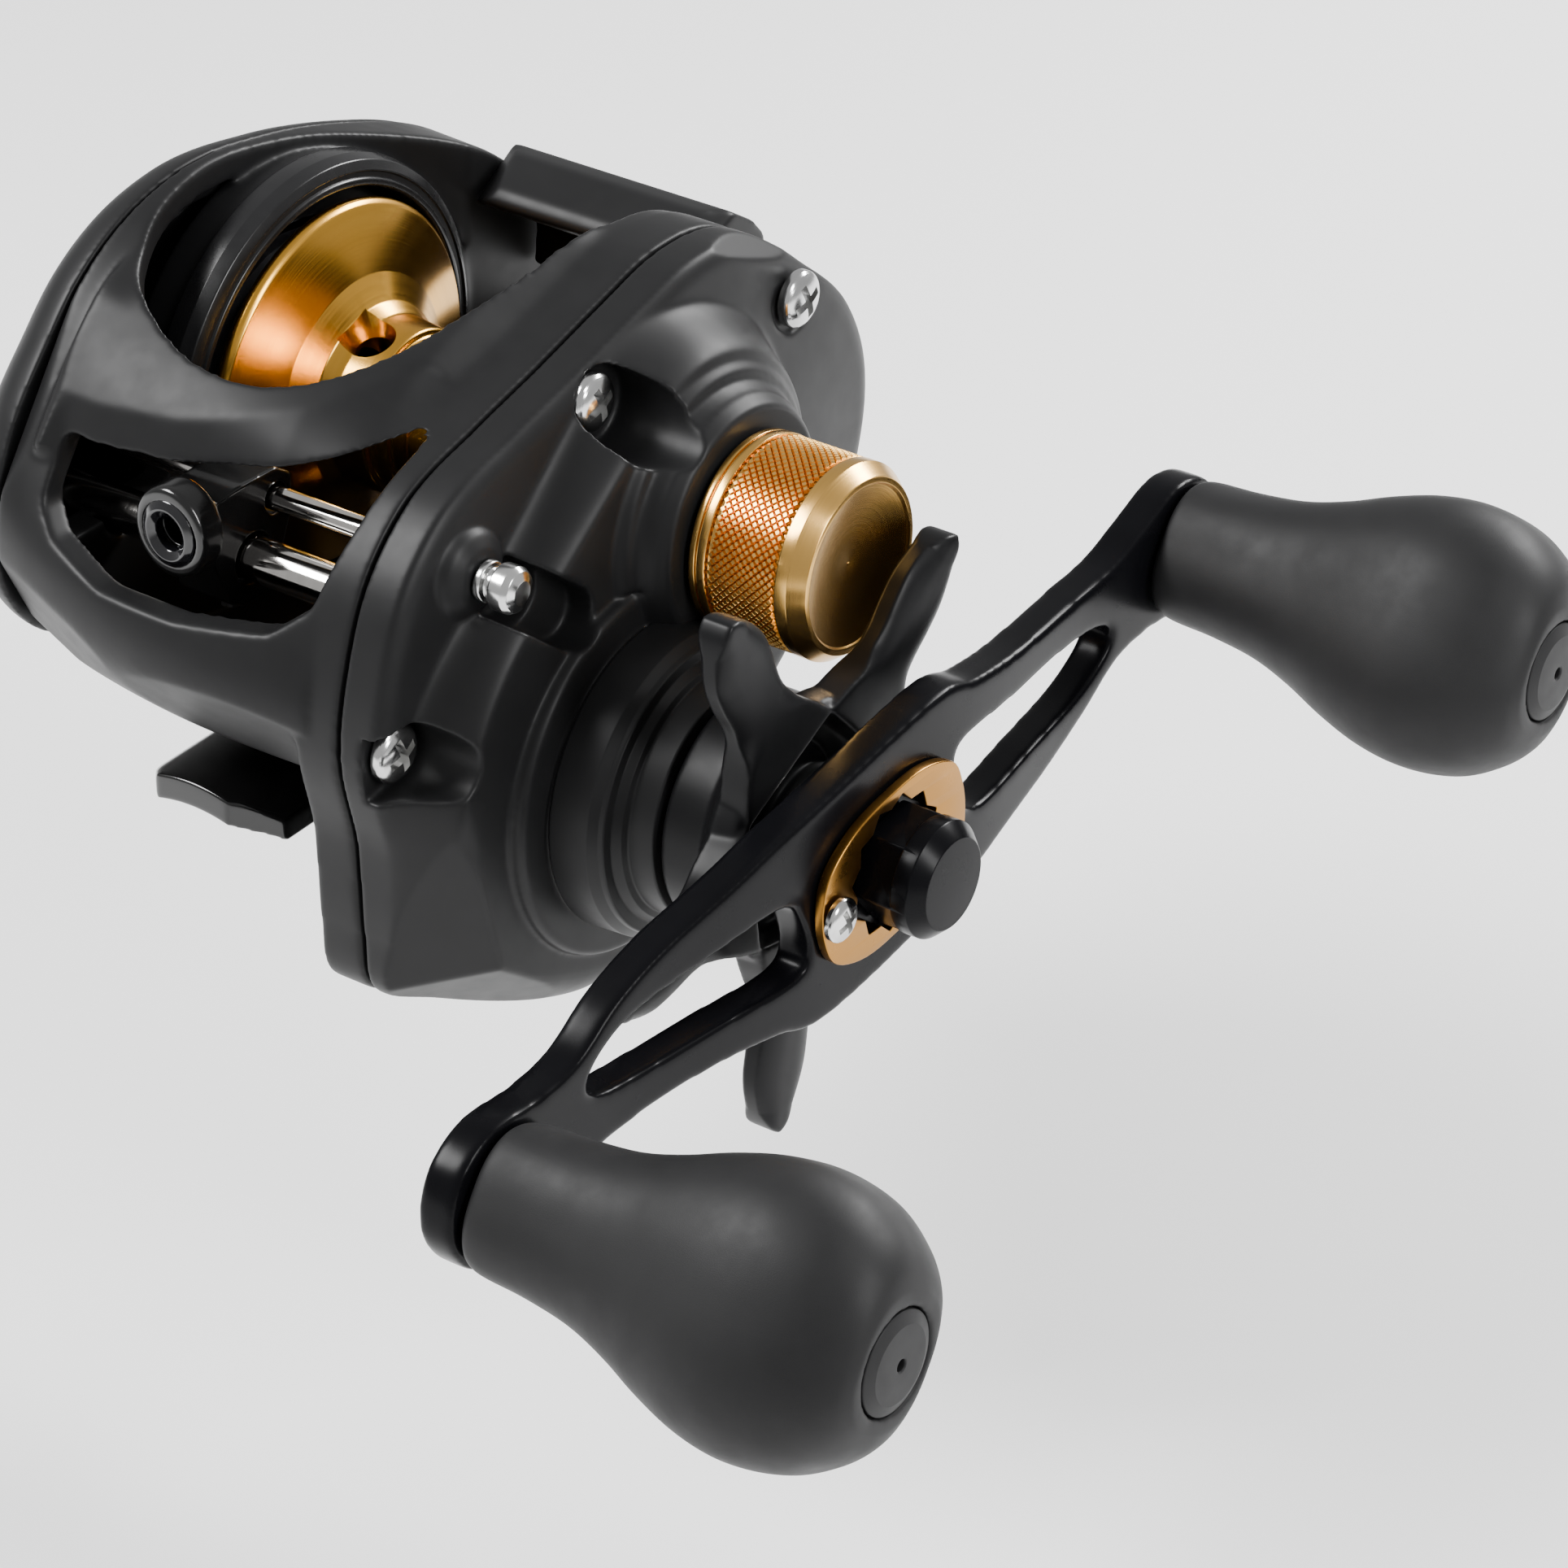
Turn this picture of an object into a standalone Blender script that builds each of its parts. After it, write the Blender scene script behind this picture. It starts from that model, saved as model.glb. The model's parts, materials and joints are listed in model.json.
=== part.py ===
"""Low-profile baitcasting reel, left-hand retrieve, as an assembly of separate pieces.

Lengths are millimetres in the constants and become metres in the helpers.  The reel stands
with its foot face at z = 0: +X is the handle side, -Y the line side (front), +Z is up.
Most pieces are turned about X or are flat plates square to X, so their local Z lies along
world X, local X along world Y and local Y along world Z.
"""
import bmesh
import bpy
import numpy as np
from math import atan2, cos, pi, radians, sin
from mathutils import Matrix, Vector

MM = 0.001
GAP = 0.3                     # clearance between neighbouring pieces

# ---- axes: (y, z) of the lines parallel to X that pieces turn on or slide along
SPOOL = (0.0, 21.0)
DRIVE = (-10.9, 2.7)
WORM = (-26.3, 20.4)
GUIDE = (-23.2, 24.5)
FOOT_TOP = 2.4

# ---- stations along X
FRAME_LEFT = -20.0
RING_RIGHT = -13.3
PLATE_LEFT = 12.7
SEAM = 17.0
COVER_FACE = 27.6

# ---- spool, gears and crank
SPOOL_RIM = 16.3
SPOOL_BORE = 17.0
SHAFT_R = 1.2
PINION_TEETH, MAIN_TEETH = 10, 70
WORM_TEETH, WIND_TEETH = 16, 44
SPOOL_TO_DRIVE = ((DRIVE[0] - SPOOL[0]) ** 2 + (DRIVE[1] - SPOOL[1]) ** 2) ** 0.5
WORM_TO_DRIVE = ((DRIVE[0] - WORM[0]) ** 2 + (DRIVE[1] - WORM[1]) ** 2) ** 0.5
MAIN_MODULE = 2 * SPOOL_TO_DRIVE / (PINION_TEETH + MAIN_TEETH)
WIND_MODULE = 2 * WORM_TO_DRIVE / (WORM_TEETH + WIND_TEETH)
HANDLE_HALF = 47.5
HANDLE_ANGLE = radians(7.5)
KNOB_ANGLE = radians(55)
STAR_ARMS = 5
STAR_REACH = 27.0
STAR_FIRST_ARM = radians(43)

X_AXIS_TURN = (pi / 2, 0, pi / 2)
OUTLINE_POINTS = 32
MANY_CUTS = ("frame", "gear_side_cover", "palm_side_cover")  # shells the exact solver leaves open

# ---- outlines of the body, (y, z above the spool axis)
LEFT_OUTLINE = [(-34.3, 0), (-31.8, 6.5), (-27.2, 12.2), (-22.6, 16.8), (-17.2, 20), (-9.9, 21.8),
                (1.4, 20.7), (13.1, 17.4), (24, 12), (29.6, 6.4), (31, 0), (29, -8), (22, -14.5),
                (12, -17.8), (0, -18.3), (-12, -18), (-22, -16.2), (-30, -12.8), (-34, -7)]
MIDDLE_OUTLINE = [(-37.4, -1.5), (-33.5, 3.6), (-30, 7.4), (-26, 11.4), (-21.5, 14.4), (-12, 18.2),
                  (0, 19.6), (10, 18.2), (19.5, 14.2), (27, 8), (30.6, 0), (29.4, -8), (22, -14.5),
                  (12, -17.8), (0, -18.3), (-12, -18), (-22, -16.2), (-34.5, -12), (-38, -7)]
RIGHT_OUTLINE = [(-35.2, -1), (-32.2, 5.6), (-27.8, 9.8), (-18.2, 13), (-9.2, 15.2), (-1, 17.4),
                 (5.3, 18.8), (12.8, 18.2), (21.9, 12), (28, 6), (30.5, 0), (29.4, -8), (22, -14.5),
                 (12, -17.8), (0, -18.3), (-12, -18), (-22, -16.2), (-34, -12.5), (-36.8, -7)]
GEAR_OUTLINE = [(-35.2, -1), (-32.2, 5.6), (-27.8, 9.8), (-18.2, 13), (-9.2, 15.2), (-1, 17.4),
                (5.3, 18.8), (12.8, 18.2), (21.9, 12), (28, 6), (30.5, 0), (30.2, -7), (27, -13.5),
                (19, -17.6), (12.6, -21), (10.6, -26), (6.6, -32.3), (0.5, -37.5), (-7, -40.2),
                (-15, -40.1), (-22.4, -37.4), (-29, -34.2), (-33.8, -31.5), (-34.6, -26),
                (-34.9, -18), (-36.6, -8)]
BODY_CENTRE = (-3.0, -1.0)
GEAR_CENTRE = (-6.0, -10.0)


# ------------------------------------------------------------------ scene and materials
def clear_scene():
    for obj in list(bpy.data.objects):
        bpy.data.objects.remove(obj, do_unlink=True)


def new_collection(name):
    collection = bpy.data.collections.new(name)
    bpy.context.scene.collection.children.link(collection)
    return collection


def material(name, color, roughness, metallic):
    mat = bpy.data.materials.new(name)
    mat.use_nodes = True
    shader = mat.node_tree.nodes["Principled BSDF"]
    shader.inputs["Base Color"].default_value = (*color, 1)
    shader.inputs["Roughness"].default_value = roughness
    shader.inputs["Metallic"].default_value = metallic
    return mat


clear_scene()
REEL = new_collection("baitcasting_reel")
CUTTERS = new_collection("cutters")

SATIN_BLACK = material("satin_black_paint", (0.028, 0.029, 0.031), 0.5, 0.1)
BLACK_ANODISED = material("black_anodised", (0.02, 0.02, 0.023), 0.3, 0.7)
GLOSS_BLACK = material("gloss_black_plastic", (0.012, 0.012, 0.013), 0.15, 0.0)
GOLD = material("gold_anodised", (0.62, 0.36, 0.09), 0.25, 1.0)
STEEL = material("stainless_steel", (0.62, 0.62, 0.62), 0.22, 1.0)
CHROME = material("plated_bar", (0.72, 0.7, 0.68), 0.1, 1.0)
BRASS = material("brass_gear", (0.6, 0.42, 0.16), 0.35, 1.0)
RUBBER = material("knob_rubber", (0.03, 0.03, 0.032), 0.8, 0.0)
GREY_PLASTIC = material("grey_acetal", (0.12, 0.12, 0.13), 0.5, 0.0)
CARBON = material("carbon_washer", (0.05, 0.05, 0.05), 0.6, 0.0)
CERAMIC = material("black_ceramic", (0.015, 0.015, 0.017), 0.12, 0.0)


# ------------------------------------------------------------------ helpers
def finish(obj, mat, cutter=False):
    """Links an object to its collection, as a piece or as a hidden cutter."""
    (CUTTERS if cutter else REEL).objects.link(obj)
    if cutter:
        obj.hide_render = True
        obj.display_type = "WIRE"
    else:
        obj.data.materials.append(mat)
    return obj


def place_on_x(obj, centre, x=0.0):
    obj.location = Vector((x, centre[0], centre[1])) * MM
    obj.rotation_euler = X_AXIS_TURN


def turned(name, outer, mat, bore=None, centre=SPOOL, steps=16, cutter=False):
    """Solid turned about a line parallel to X; outer and bore list (x, radius) by rising x."""
    loop = [(r, x) for x, r in reversed(outer)]
    if bore:
        loop += [(r, x) for x, r in bore]
    else:
        loop = [(0.0, outer[-1][0])] + loop + [(0.0, outer[0][0])]
    mesh = bpy.data.meshes.new(name)
    bm = bmesh.new()
    verts = [bm.verts.new(Vector((r, 0, x)) * MM) for r, x in loop]
    for a, b in zip(verts, verts[1:] + (verts[:1] if bore else [])):
        bm.edges.new((a, b))
    bm.to_mesh(mesh)
    bm.free()
    obj = bpy.data.objects.new(name, mesh)
    place_on_x(obj, centre)
    screw = obj.modifiers.new("turn", "SCREW")
    screw.steps = screw.render_steps = steps
    screw.use_merge_vertices = True
    screw.merge_threshold = 0.000001
    screw.use_smooth_shade = False
    return finish(obj, mat, cutter)


def tube(name, x0, x1, r_out, r_in, mat, centre=SPOOL, steps=16):
    return turned(name, [(x0, r_out), (x1, r_out)], mat, [(x0, r_in), (x1, r_in)], centre, steps)


def rod(name, x0, x1, radius, mat=None, centre=SPOOL, steps=16, cutter=False):
    return turned(name, [(x0, radius), (x1, radius)], mat, None, centre, steps, cutter)


def to_mesh(curve_obj):
    """Turns a curve object into a welded mesh object with the same name and place."""
    bpy.context.view_layer.update()
    depsgraph = bpy.context.evaluated_depsgraph_get()
    mesh = bpy.data.meshes.new_from_object(curve_obj.evaluated_get(depsgraph))
    bm = bmesh.new()
    bm.from_mesh(mesh)
    bmesh.ops.remove_doubles(bm, verts=bm.verts, dist=0.000002)
    bm.to_mesh(mesh)
    bm.free()
    name, matrix = curve_obj.name, curve_obj.matrix_world.copy()
    owner = curve_obj.users_collection[0]
    bpy.data.objects.remove(curve_obj, do_unlink=True)
    obj = bpy.data.objects.new(name, mesh)
    obj.matrix_world = matrix
    owner.objects.link(obj)
    return obj


def plate(name, outlines, x0, x1, mat=None, centre=SPOOL, cutter=False):
    """Flat plate from x0 to x1; outlines are loops of (y, z) about the centre, holes included."""
    curve = bpy.data.curves.new(name, "CURVE")
    curve.dimensions = "2D"
    curve.fill_mode = "BOTH"
    curve.extrude = (x1 - x0) / 2 * MM
    for outline in outlines:
        spline = curve.splines.new("POLY")
        spline.points.add(len(outline) - 1)
        for point, (a, b) in zip(spline.points, outline):
            point.co = (a * MM, b * MM, 0, 1)
        spline.use_cyclic_u = True
    curve_obj = bpy.data.objects.new(name, curve)
    place_on_x(curve_obj, centre, (x0 + x1) / 2)
    finish(curve_obj, mat, cutter)
    obj = to_mesh(curve_obj)
    if cutter:
        obj.hide_render = True
        obj.display_type = "WIRE"
    return obj


def block(name, low, high, mat=None, cutter=False):
    mesh = bpy.data.meshes.new(name)
    bm = bmesh.new()
    bmesh.ops.create_cube(bm, size=1)
    size = Vector(high) - Vector(low)
    middle = (Vector(high) + Vector(low)) / 2
    bmesh.ops.transform(bm, matrix=Matrix.Diagonal((*(size * MM), 1)), verts=bm.verts)
    bm.to_mesh(mesh)
    bm.free()
    obj = bpy.data.objects.new(name, mesh)
    obj.location = middle * MM
    return finish(obj, mat, cutter)


def prism_z(name, outline, z0, z1, cutter=True):
    """Upright prism from an outline in (x, y)."""
    obj = plate(name, [outline], z0, z1, None, (0, 0), cutter)
    obj.matrix_world = Matrix.Translation((0, 0, (z0 + z1) / 2 * MM))
    return obj


def prism_y(name, outline, y0, y1):
    """Prism along Y from an outline in (x, z), as a cutter."""
    flat = [(x, -z) for x, z in outline]
    obj = plate(name, [flat], y0, y1, None, (0, 0), True)
    lying = Matrix.Rotation(-pi / 2, 4, "X")
    obj.matrix_world = Matrix.Translation((0, (y0 + y1) / 2 * MM, 0)) @ lying
    return obj


def boolean(obj, other, operation):
    mod = obj.modifiers.new(operation.lower(), "BOOLEAN")
    mod.operation = operation
    mod.object = other
    mod.solver = "MANIFOLD" if obj.name in MANY_CUTS else "EXACT"


def cut(obj, *cutters):
    for cutter in cutters:
        boolean(obj, cutter, "DIFFERENCE")


def join(obj, *others):
    for other in others:
        boolean(obj, other, "UNION")


def radii(outline, centre):
    """Radius about the centre at even angles, from a smooth curve through the outline's points."""
    spots = [(atan2(z - centre[1], y - centre[0]) % (2 * pi), ((y - centre[0]) ** 2
              + (z - centre[1]) ** 2) ** 0.5) for y, z in outline]
    spots.sort()
    wrapped = ([(a - 2 * pi, r) for a, r in spots[-3:]] + spots
               + [(a + 2 * pi, r) for a, r in spots[:3]])
    angles = np.array([a for a, _ in wrapped])
    sizes = np.array([r for _, r in wrapped])
    slopes = np.gradient(sizes, angles)
    result = []
    for k in range(OUTLINE_POINTS):
        a = 2 * pi * k / OUTLINE_POINTS
        i = int(np.searchsorted(angles, a, side="right")) - 1
        width = angles[i + 1] - angles[i]
        t = (a - angles[i]) / width
        result.append((1 + 2 * t) * (1 - t) ** 2 * sizes[i] + t * (1 - t) ** 2 * width * slopes[i]
                      + t * t * (3 - 2 * t) * sizes[i + 1] + t * t * (t - 1) * width * slopes[i + 1])
    return np.array(result)


LEFT_R = radii(LEFT_OUTLINE, BODY_CENTRE)
MIDDLE_R = radii(MIDDLE_OUTLINE, BODY_CENTRE)
RIGHT_R = radii(RIGHT_OUTLINE, BODY_CENTRE)
GEAR_R = radii(GEAR_OUTLINE, GEAR_CENTRE)


def body_radii(x):
    """Body outline at station x, a parabola through the left, middle and right outlines."""
    xl, xm, xr = -20.0, -3.0, 14.0
    wl = (x - xm) * (x - xr) / ((xl - xm) * (xl - xr))
    wm = (x - xl) * (x - xr) / ((xm - xl) * (xm - xr))
    wr = (x - xl) * (x - xm) / ((xr - xl) * (xr - xm))
    return wl * LEFT_R + wm * MIDDLE_R + wr * RIGHT_R


def loft(name, stations, centre, mat=None, cutter=False):
    """Closed loft along X; stations are (x, radii about the centre), by rising x."""
    mesh = bpy.data.meshes.new(name)
    bm = bmesh.new()
    rings = []
    for x, sizes in stations:
        ring = []
        for k, r in enumerate(sizes):
            a = 2 * pi * k / len(sizes)
            y = centre[0] + r * cos(a)
            z = SPOOL[1] + centre[1] + r * sin(a)
            ring.append(bm.verts.new(Vector((x, y, z)) * MM))
        rings.append(ring)
    for low, high in zip(rings, rings[1:]):
        for k in range(len(low)):
            n = (k + 1) % len(low)
            bm.faces.new((low[k], low[n], high[n], high[k]))
    bm.faces.new(list(reversed(rings[0])))
    bm.faces.new(rings[-1])
    bmesh.ops.recalc_face_normals(bm, faces=bm.faces)
    bm.to_mesh(mesh)
    bm.free()
    return finish(bpy.data.objects.new(name, mesh), mat, cutter)


def gear_outline(teeth, module, phase):
    """Straight-flanked teeth thinned for backlash; one tooth is centred on the phase angle."""
    pitch = teeth * module / 2
    tip, root = pitch + 0.9 * module, pitch - 1.2 * module
    step = 2 * pi / teeth
    outline = []
    for k in range(teeth):
        middle = phase + step * k
        for radius, half in ((root, -0.36), (tip, -0.11), (tip, 0.11), (root, 0.36)):
            outline.append((radius * cos(middle + half * step), radius * sin(middle + half * step)))
    return outline


def circle(radius, count=24, at=(0.0, 0.0), phase=0.0):
    return [(at[0] + radius * cos(phase + 2 * pi * k / count),
             at[1] + radius * sin(phase + 2 * pi * k / count)) for k in range(count)]


def stadium(start, end, radius, count=8):
    """Slot outline with round ends."""
    heading = atan2(end[1] - start[1], end[0] - start[0])
    points = []
    for (y, z), first in ((end, heading - pi / 2), (start, heading + pi / 2)):
        for k in range(count + 1):
            a = first + pi * k / count
            points.append((y + radius * cos(a), z + radius * sin(a)))
    return points


# ------------------------------------------------------------------ frame
TOP_WINDOW = [(-13.4, 45), (-13.4, 16), (-16.2, 11.5), (-17.6, 5), (-17.6, -8), (-16, -14),
              (-12.5, -18.5), (-8, -21), (-3, -21.8), (1.5, -20.3), (5, -17), (8, -11.5),
              (10, -5), (11, 2), (11, 45)]
FRONT_WINDOW = [(-15.2, 2.6), (-13, 0.6), (-7, -1.2), (1, -1), (9.6, 0.6), (12.4, 3), (14.4, 7.6),
                (15.2, 10.4), (5, 8.6), (-5, 7.6), (-12.4, 7.5), (-15.4, 5.2)]
WALL = 2.6
THUMB_GATE_FLOOR = 15.7        # 0.4 under the thumb bar when it is pressed right down


def make_frame():
    stations = (FRAME_LEFT, -14, -8, -2, 5, 14)
    frame = loft("frame", [(x, body_radii(x)) for x in stations], BODY_CENTRE, SATIN_BLACK)
    side_plate = loft("frame_side_plate", [(PLATE_LEFT, GEAR_R), (SEAM, GEAR_R)], GEAR_CENTRE,
                      cutter=True)
    inner_stations = (RING_RIGHT, -8, -2, 5, PLATE_LEFT + 0.2)
    hollow = loft("frame_hollow", [(x, body_radii(x) - WALL) for x in inner_stations],
                  BODY_CENTRE, cutter=True)
    rim_hollow = loft("frame_rim_hollow", [(x, body_radii(x) - WALL) for x in (-22, -16.4)],
                      BODY_CENTRE, cutter=True)
    top_window = prism_z("frame_top_window", TOP_WINDOW, 26, 60)
    front_window = prism_y("frame_front_window", [(x, z + SPOOL[1]) for x, z in FRONT_WINDOW],
                           -50, -18)
    thumb_gate = block("frame_thumb_gate", (-13.4, 17.6, THUMB_GATE_FLOOR), (11.0, 45, 60),
                       cutter=True)
    join(frame, side_plate)
    cut(frame, hollow, rim_hollow, top_window, front_window, thumb_gate)
    ring = rod("frame_ring", FRAME_LEFT + 0.2, RING_RIGHT + 0.1, 19.2, steps=32, cutter=True)
    join(frame, ring)
    spool_space = rod("frame_spool_space", -24, PLATE_LEFT + 0.4, SPOOL_BORE, steps=32, cutter=True)
    pinion_seat = turned("frame_pinion_seat", [(12, 3.9), (14.4, 3.9), (14.4, 5.6), (20, 5.6)], None,
                         cutter=True)
    shaft_seat = rod("frame_shaft_seat", 13.9, 20, 4.3, centre=DRIVE, cutter=True)
    worm_end = rod("frame_worm_end", -15.2, 20, 2.2, centre=WORM, steps=20, cutter=True)
    guide_end = rod("frame_guide_end", -15.2, 14.6, 1.35, centre=GUIDE, steps=16, cutter=True)
    lever_slot = block("frame_lever_slot", (10, 20, 14.8), (20, 25.2, 27.5), cutter=True)
    cut(frame, spool_space, pinion_seat, shaft_seat, worm_end, guide_end, lever_slot)
    for k, (y, z) in enumerate(COVER_SCREWS):
        cut(frame, rod(f"frame_screw_hole_{k}", 13.5, 20, 1.15, centre=(y, z), steps=12, cutter=True))
    for k, y in enumerate(FOOT_SCREW_Y):
        hole = turned(f"frame_foot_hole_{k}", [(-1, 1.35), (6.2, 1.35)], None, steps=12, cutter=True)
        hole.matrix_world = Matrix.Translation((0, y * MM, 0))
        cut(frame, hole)
    return frame


# ------------------------------------------------------------------ side covers
FRONT_SCREW = (-33.2, 12.4)
FRONT_NOTCH_END = (-40.0, 11.4)  # the front screw's seat runs out through the edge
COVER_SCREWS = [(-8.4, 33.2), (18.6, 31.6), FRONT_SCREW]
COVER_SCREW_HEADS = [20.6, 21.6, 19.4]
FOOT_SCREW_Y = (-8.0, 9.0)
KNOB_BOSS = [(24, 13.2), (28.4, 13.2), (29.4, 12.2), (29.4, 10.6), (30.3, 10.6)]
# inside of the gear housing: main gear, drag plates, one-way bearing, shaft hole
GEAR_ROOM = [(16, 20.1), (23.2, 20.1), (23.2, 15.2), (25.6, 15.2), (25.6, 8.2), (33.6, 8.2),
             (33.6, 5.6), (40, 5.6)]
# recess behind the keeper: (far end, floor), each floor 0.8 or more outside the gear room
KEEPER_SLOTS = [((-22.2, 1.9), 22.4), ((-18.3, -1.3), 24.0)]
DRIVE_BOSS = [(24, 15.9), (29.0, 15.9), (29.0, 13.9), (31.2, 13.9), (31.2, 11.7), (33.4, 11.7),
              (33.4, 10.6), (35.2, 10.6)]


def make_gear_cover():
    insets = ((SEAM + GAP, 0.0), (22.5, 0.2), (25.0, 1.5), (26.8, 3.6), (COVER_FACE, 5.6))
    cover = loft("gear_side_cover", [(x, GEAR_R - inset) for x, inset in insets], GEAR_CENTRE,
                 SATIN_BLACK)
    knob_boss = turned("cover_knob_boss", KNOB_BOSS, None, steps=24, cutter=True)
    drive_boss = turned("cover_drive_boss", DRIVE_BOSS, None, centre=DRIVE, steps=24, cutter=True)
    join(cover, knob_boss, drive_boss)
    gear_room = turned("cover_gear_room", GEAR_ROOM, None, centre=DRIVE, steps=24, cutter=True)
    yoke_room = turned("cover_yoke_room", [(16, 9.6), (29.2, 9.6), (29.2, 3.6), (40, 3.6)], None,
                       cutter=True)
    knob_room = rod("cover_knob_room", 30.3, 45, 9.0, steps=24, cutter=True)
    worm_room = rod("cover_worm_room", 16, 19.4, 7.1, centre=WORM, steps=16, cutter=True)
    cut(cover, gear_room, yoke_room, worm_room, knob_room)
    lever_room = block("cover_lever_room", (16, 3.0, 14.8), (19.6, 25.6, 27.5), cutter=True)
    cut(cover, lever_room)
    for k, ((y, z), seat) in enumerate(zip(COVER_SCREWS, COVER_SCREW_HEADS)):
        if (y, z) == FRONT_SCREW:
            counterbore = plate(f"cover_screw_seat_{k}", [stadium((y, z), FRONT_NOTCH_END, 3.0)], seat,
                                40, None, (0, 0), cutter=True)
        else:
            counterbore = rod(f"cover_screw_seat_{k}", seat, 40, 3.0, centre=(y, z), steps=14,
                              cutter=True)
        hole = rod(f"cover_screw_hole_{k}", 16, 40, 1.3, centre=(y, z), steps=12, cutter=True)
        cut(cover, counterbore, hole)
    for k, (end, floor) in enumerate(KEEPER_SLOTS):
        cut(cover, plate(f"cover_keeper_slot_{k}", [stadium((-25.2, 4.4), end, 2.6)], floor, 40,
                         cutter=True))
    keeper_hole = rod("cover_keeper_hole", 20.4, 24.2, 1.3, centre=KEEPER, steps=16, cutter=True)
    keeper_dome = turned("cover_keeper_dome", [(20.8, 4.0), (21.8, 4.0), (23.2, 3.4), (23.9, 2.2)],
                         None, centre=KEEPER, steps=20, cutter=True)
    neck = turned("cover_knob_neck", [(29.9, 6.9), (37.0, 6.9)], None,
                  [(29.9, 3.6), (31.2, 3.6), (31.2, 5.5), (37.0, 5.5)], cutter=True)
    join(cover, keeper_dome, neck)
    cut(cover, keeper_hole)
    return cover


KEEPER = (-25.2, 25.4)
PALM_INSETS = ((-28.0, 13.0), (-27.2, 8.2), (-25.6, 4.4), (-23.4, 1.6), (FRAME_LEFT - GAP, 0.2))
BEARING_TOWER_R = 4.6


def make_palm_cover():
    cover = loft("palm_side_cover", [(x, LEFT_R - inset) for x, inset in PALM_INSETS],
                 BODY_CENTRE, SATIN_BLACK)
    hollow = loft("palm_hollow", [(x, LEFT_R - inset - 2.2) for x, inset in
                                  ((-25.8, 9.0), (-24.6, 5.6), (-23.0, 2.6), (-19, 1.6))],
                  BODY_CENTRE, cutter=True)
    brake_house = turned("palm_brake_house", [(-26.2, 16.6), (-16.6, 16.6)], None,
                         [(-26.2, 13.6), (-16.6, 13.6)], steps=32, cutter=True)
    tower = turned("palm_bearing_tower", [(-26.3, BEARING_TOWER_R), (-19.4, BEARING_TOWER_R)], None,
                   cutter=True)
    bearing_room = rod("palm_bearing_room", -22.6, -18, 3.5, steps=16, cutter=True)
    dial_pocket = rod("palm_dial_pocket", -35, -27.0, 11.4, steps=32, cutter=True)
    cut(cover, hollow)
    join(cover, brake_house, tower)
    cut(cover, bearing_room, dial_pocket)
    return cover


def cover_parts():
    for name, (y, z), seat in zip(("top", "rear", "front"), COVER_SCREWS, COVER_SCREW_HEADS):
        screw(f"cover_screw_{name}", seat + GAP, (y, z), 2.5, 1.5, 14.2, 1.0)
    turned("hook_keeper", [(20.8, 1.0), (24.5, 1.0), (24.5, 1.55), (25.3, 1.55), (25.3, 1.1),
                           (26.2, 1.1), (26.2, 1.9), (27.4, 1.9), (27.9, 1.4)], STEEL,
           centre=KEEPER, steps=20)


def screw(name, seat, centre, head_r, head_h, tip, shank_r):
    """Pan-head cross-recess screw; the head stands on the +X side of its seat."""
    body = turned(name, [(tip, shank_r), (seat, shank_r), (seat, head_r), (seat + head_h * 0.5, head_r),
                         (seat + head_h * 0.85, head_r * 0.72), (seat + head_h, head_r * 0.35)],
                  STEEL, centre=centre, steps=14)
    arm, half = head_r * 0.62, head_r * 0.13
    cross = [(-arm, -half), (-half, -half), (-half, -arm), (half, -arm), (half, -half), (arm, -half),
             (arm, half), (half, half), (half, arm), (-half, arm), (-half, half), (-arm, half)]
    turn = Matrix.Rotation(radians(20), 2)
    cross = [tuple(turn @ Vector(point)) for point in cross]
    recess = plate(name + "_recess", [cross], seat + head_h * 0.45, seat + head_h * 2, None, centre,
                   True)
    cut(body, recess)
    return body


# ------------------------------------------------------------------ reel foot
def make_foot():
    """Saddle foot: flat middle facet under, thin rounded ends, two countersunk screws."""
    half_width, section = 7.0, []
    section += [(-half_width, -0.9), (-3.4, 0.0), (3.4, 0.0), (half_width, -0.9), (half_width, 1.2)]
    section += [(4.5, FOOT_TOP), (-4.5, FOOT_TOP), (-half_width, 1.2)]
    foot = prism_y("reel_foot", section, -35.0, 26.0)
    CUTTERS.objects.unlink(foot)
    foot.hide_render = False
    foot.display_type = "TEXTURED"
    finish(foot, BLACK_ANODISED)
    for k, (front, tip) in enumerate(((-35.0, -31.0), (26.0, 22.0))):
        out = front * 1.2
        for side in (-1, 1):
            corner = [(side * 7.4, tip), (side * 3.8, front), (side * 3.8, out), (side * 9, out),
                      (side * 9, tip)]
            cut(foot, prism_z(f"foot_corner_{k}_{side}", corner, -4, 6))
    for k, y in enumerate(FOOT_SCREW_Y):
        hole = turned(f"foot_hole_{k}", [(-1, 2.6), (0.9, 2.6), (1.0, 1.4), (8, 1.4)], None,
                      steps=16, cutter=True)
        hole.matrix_world = Matrix.Translation((0, y * MM, 0))
        cut(foot, hole)
        fastener = turned(f"foot_screw_{k + 1}", [(0.05, 2.2), (0.7, 2.2), (0.7, 1.05), (5.6, 1.05)],
                          STEEL, steps=16)
        fastener.matrix_world = Matrix.Translation((0, y * MM, 0))
    return foot


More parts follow.
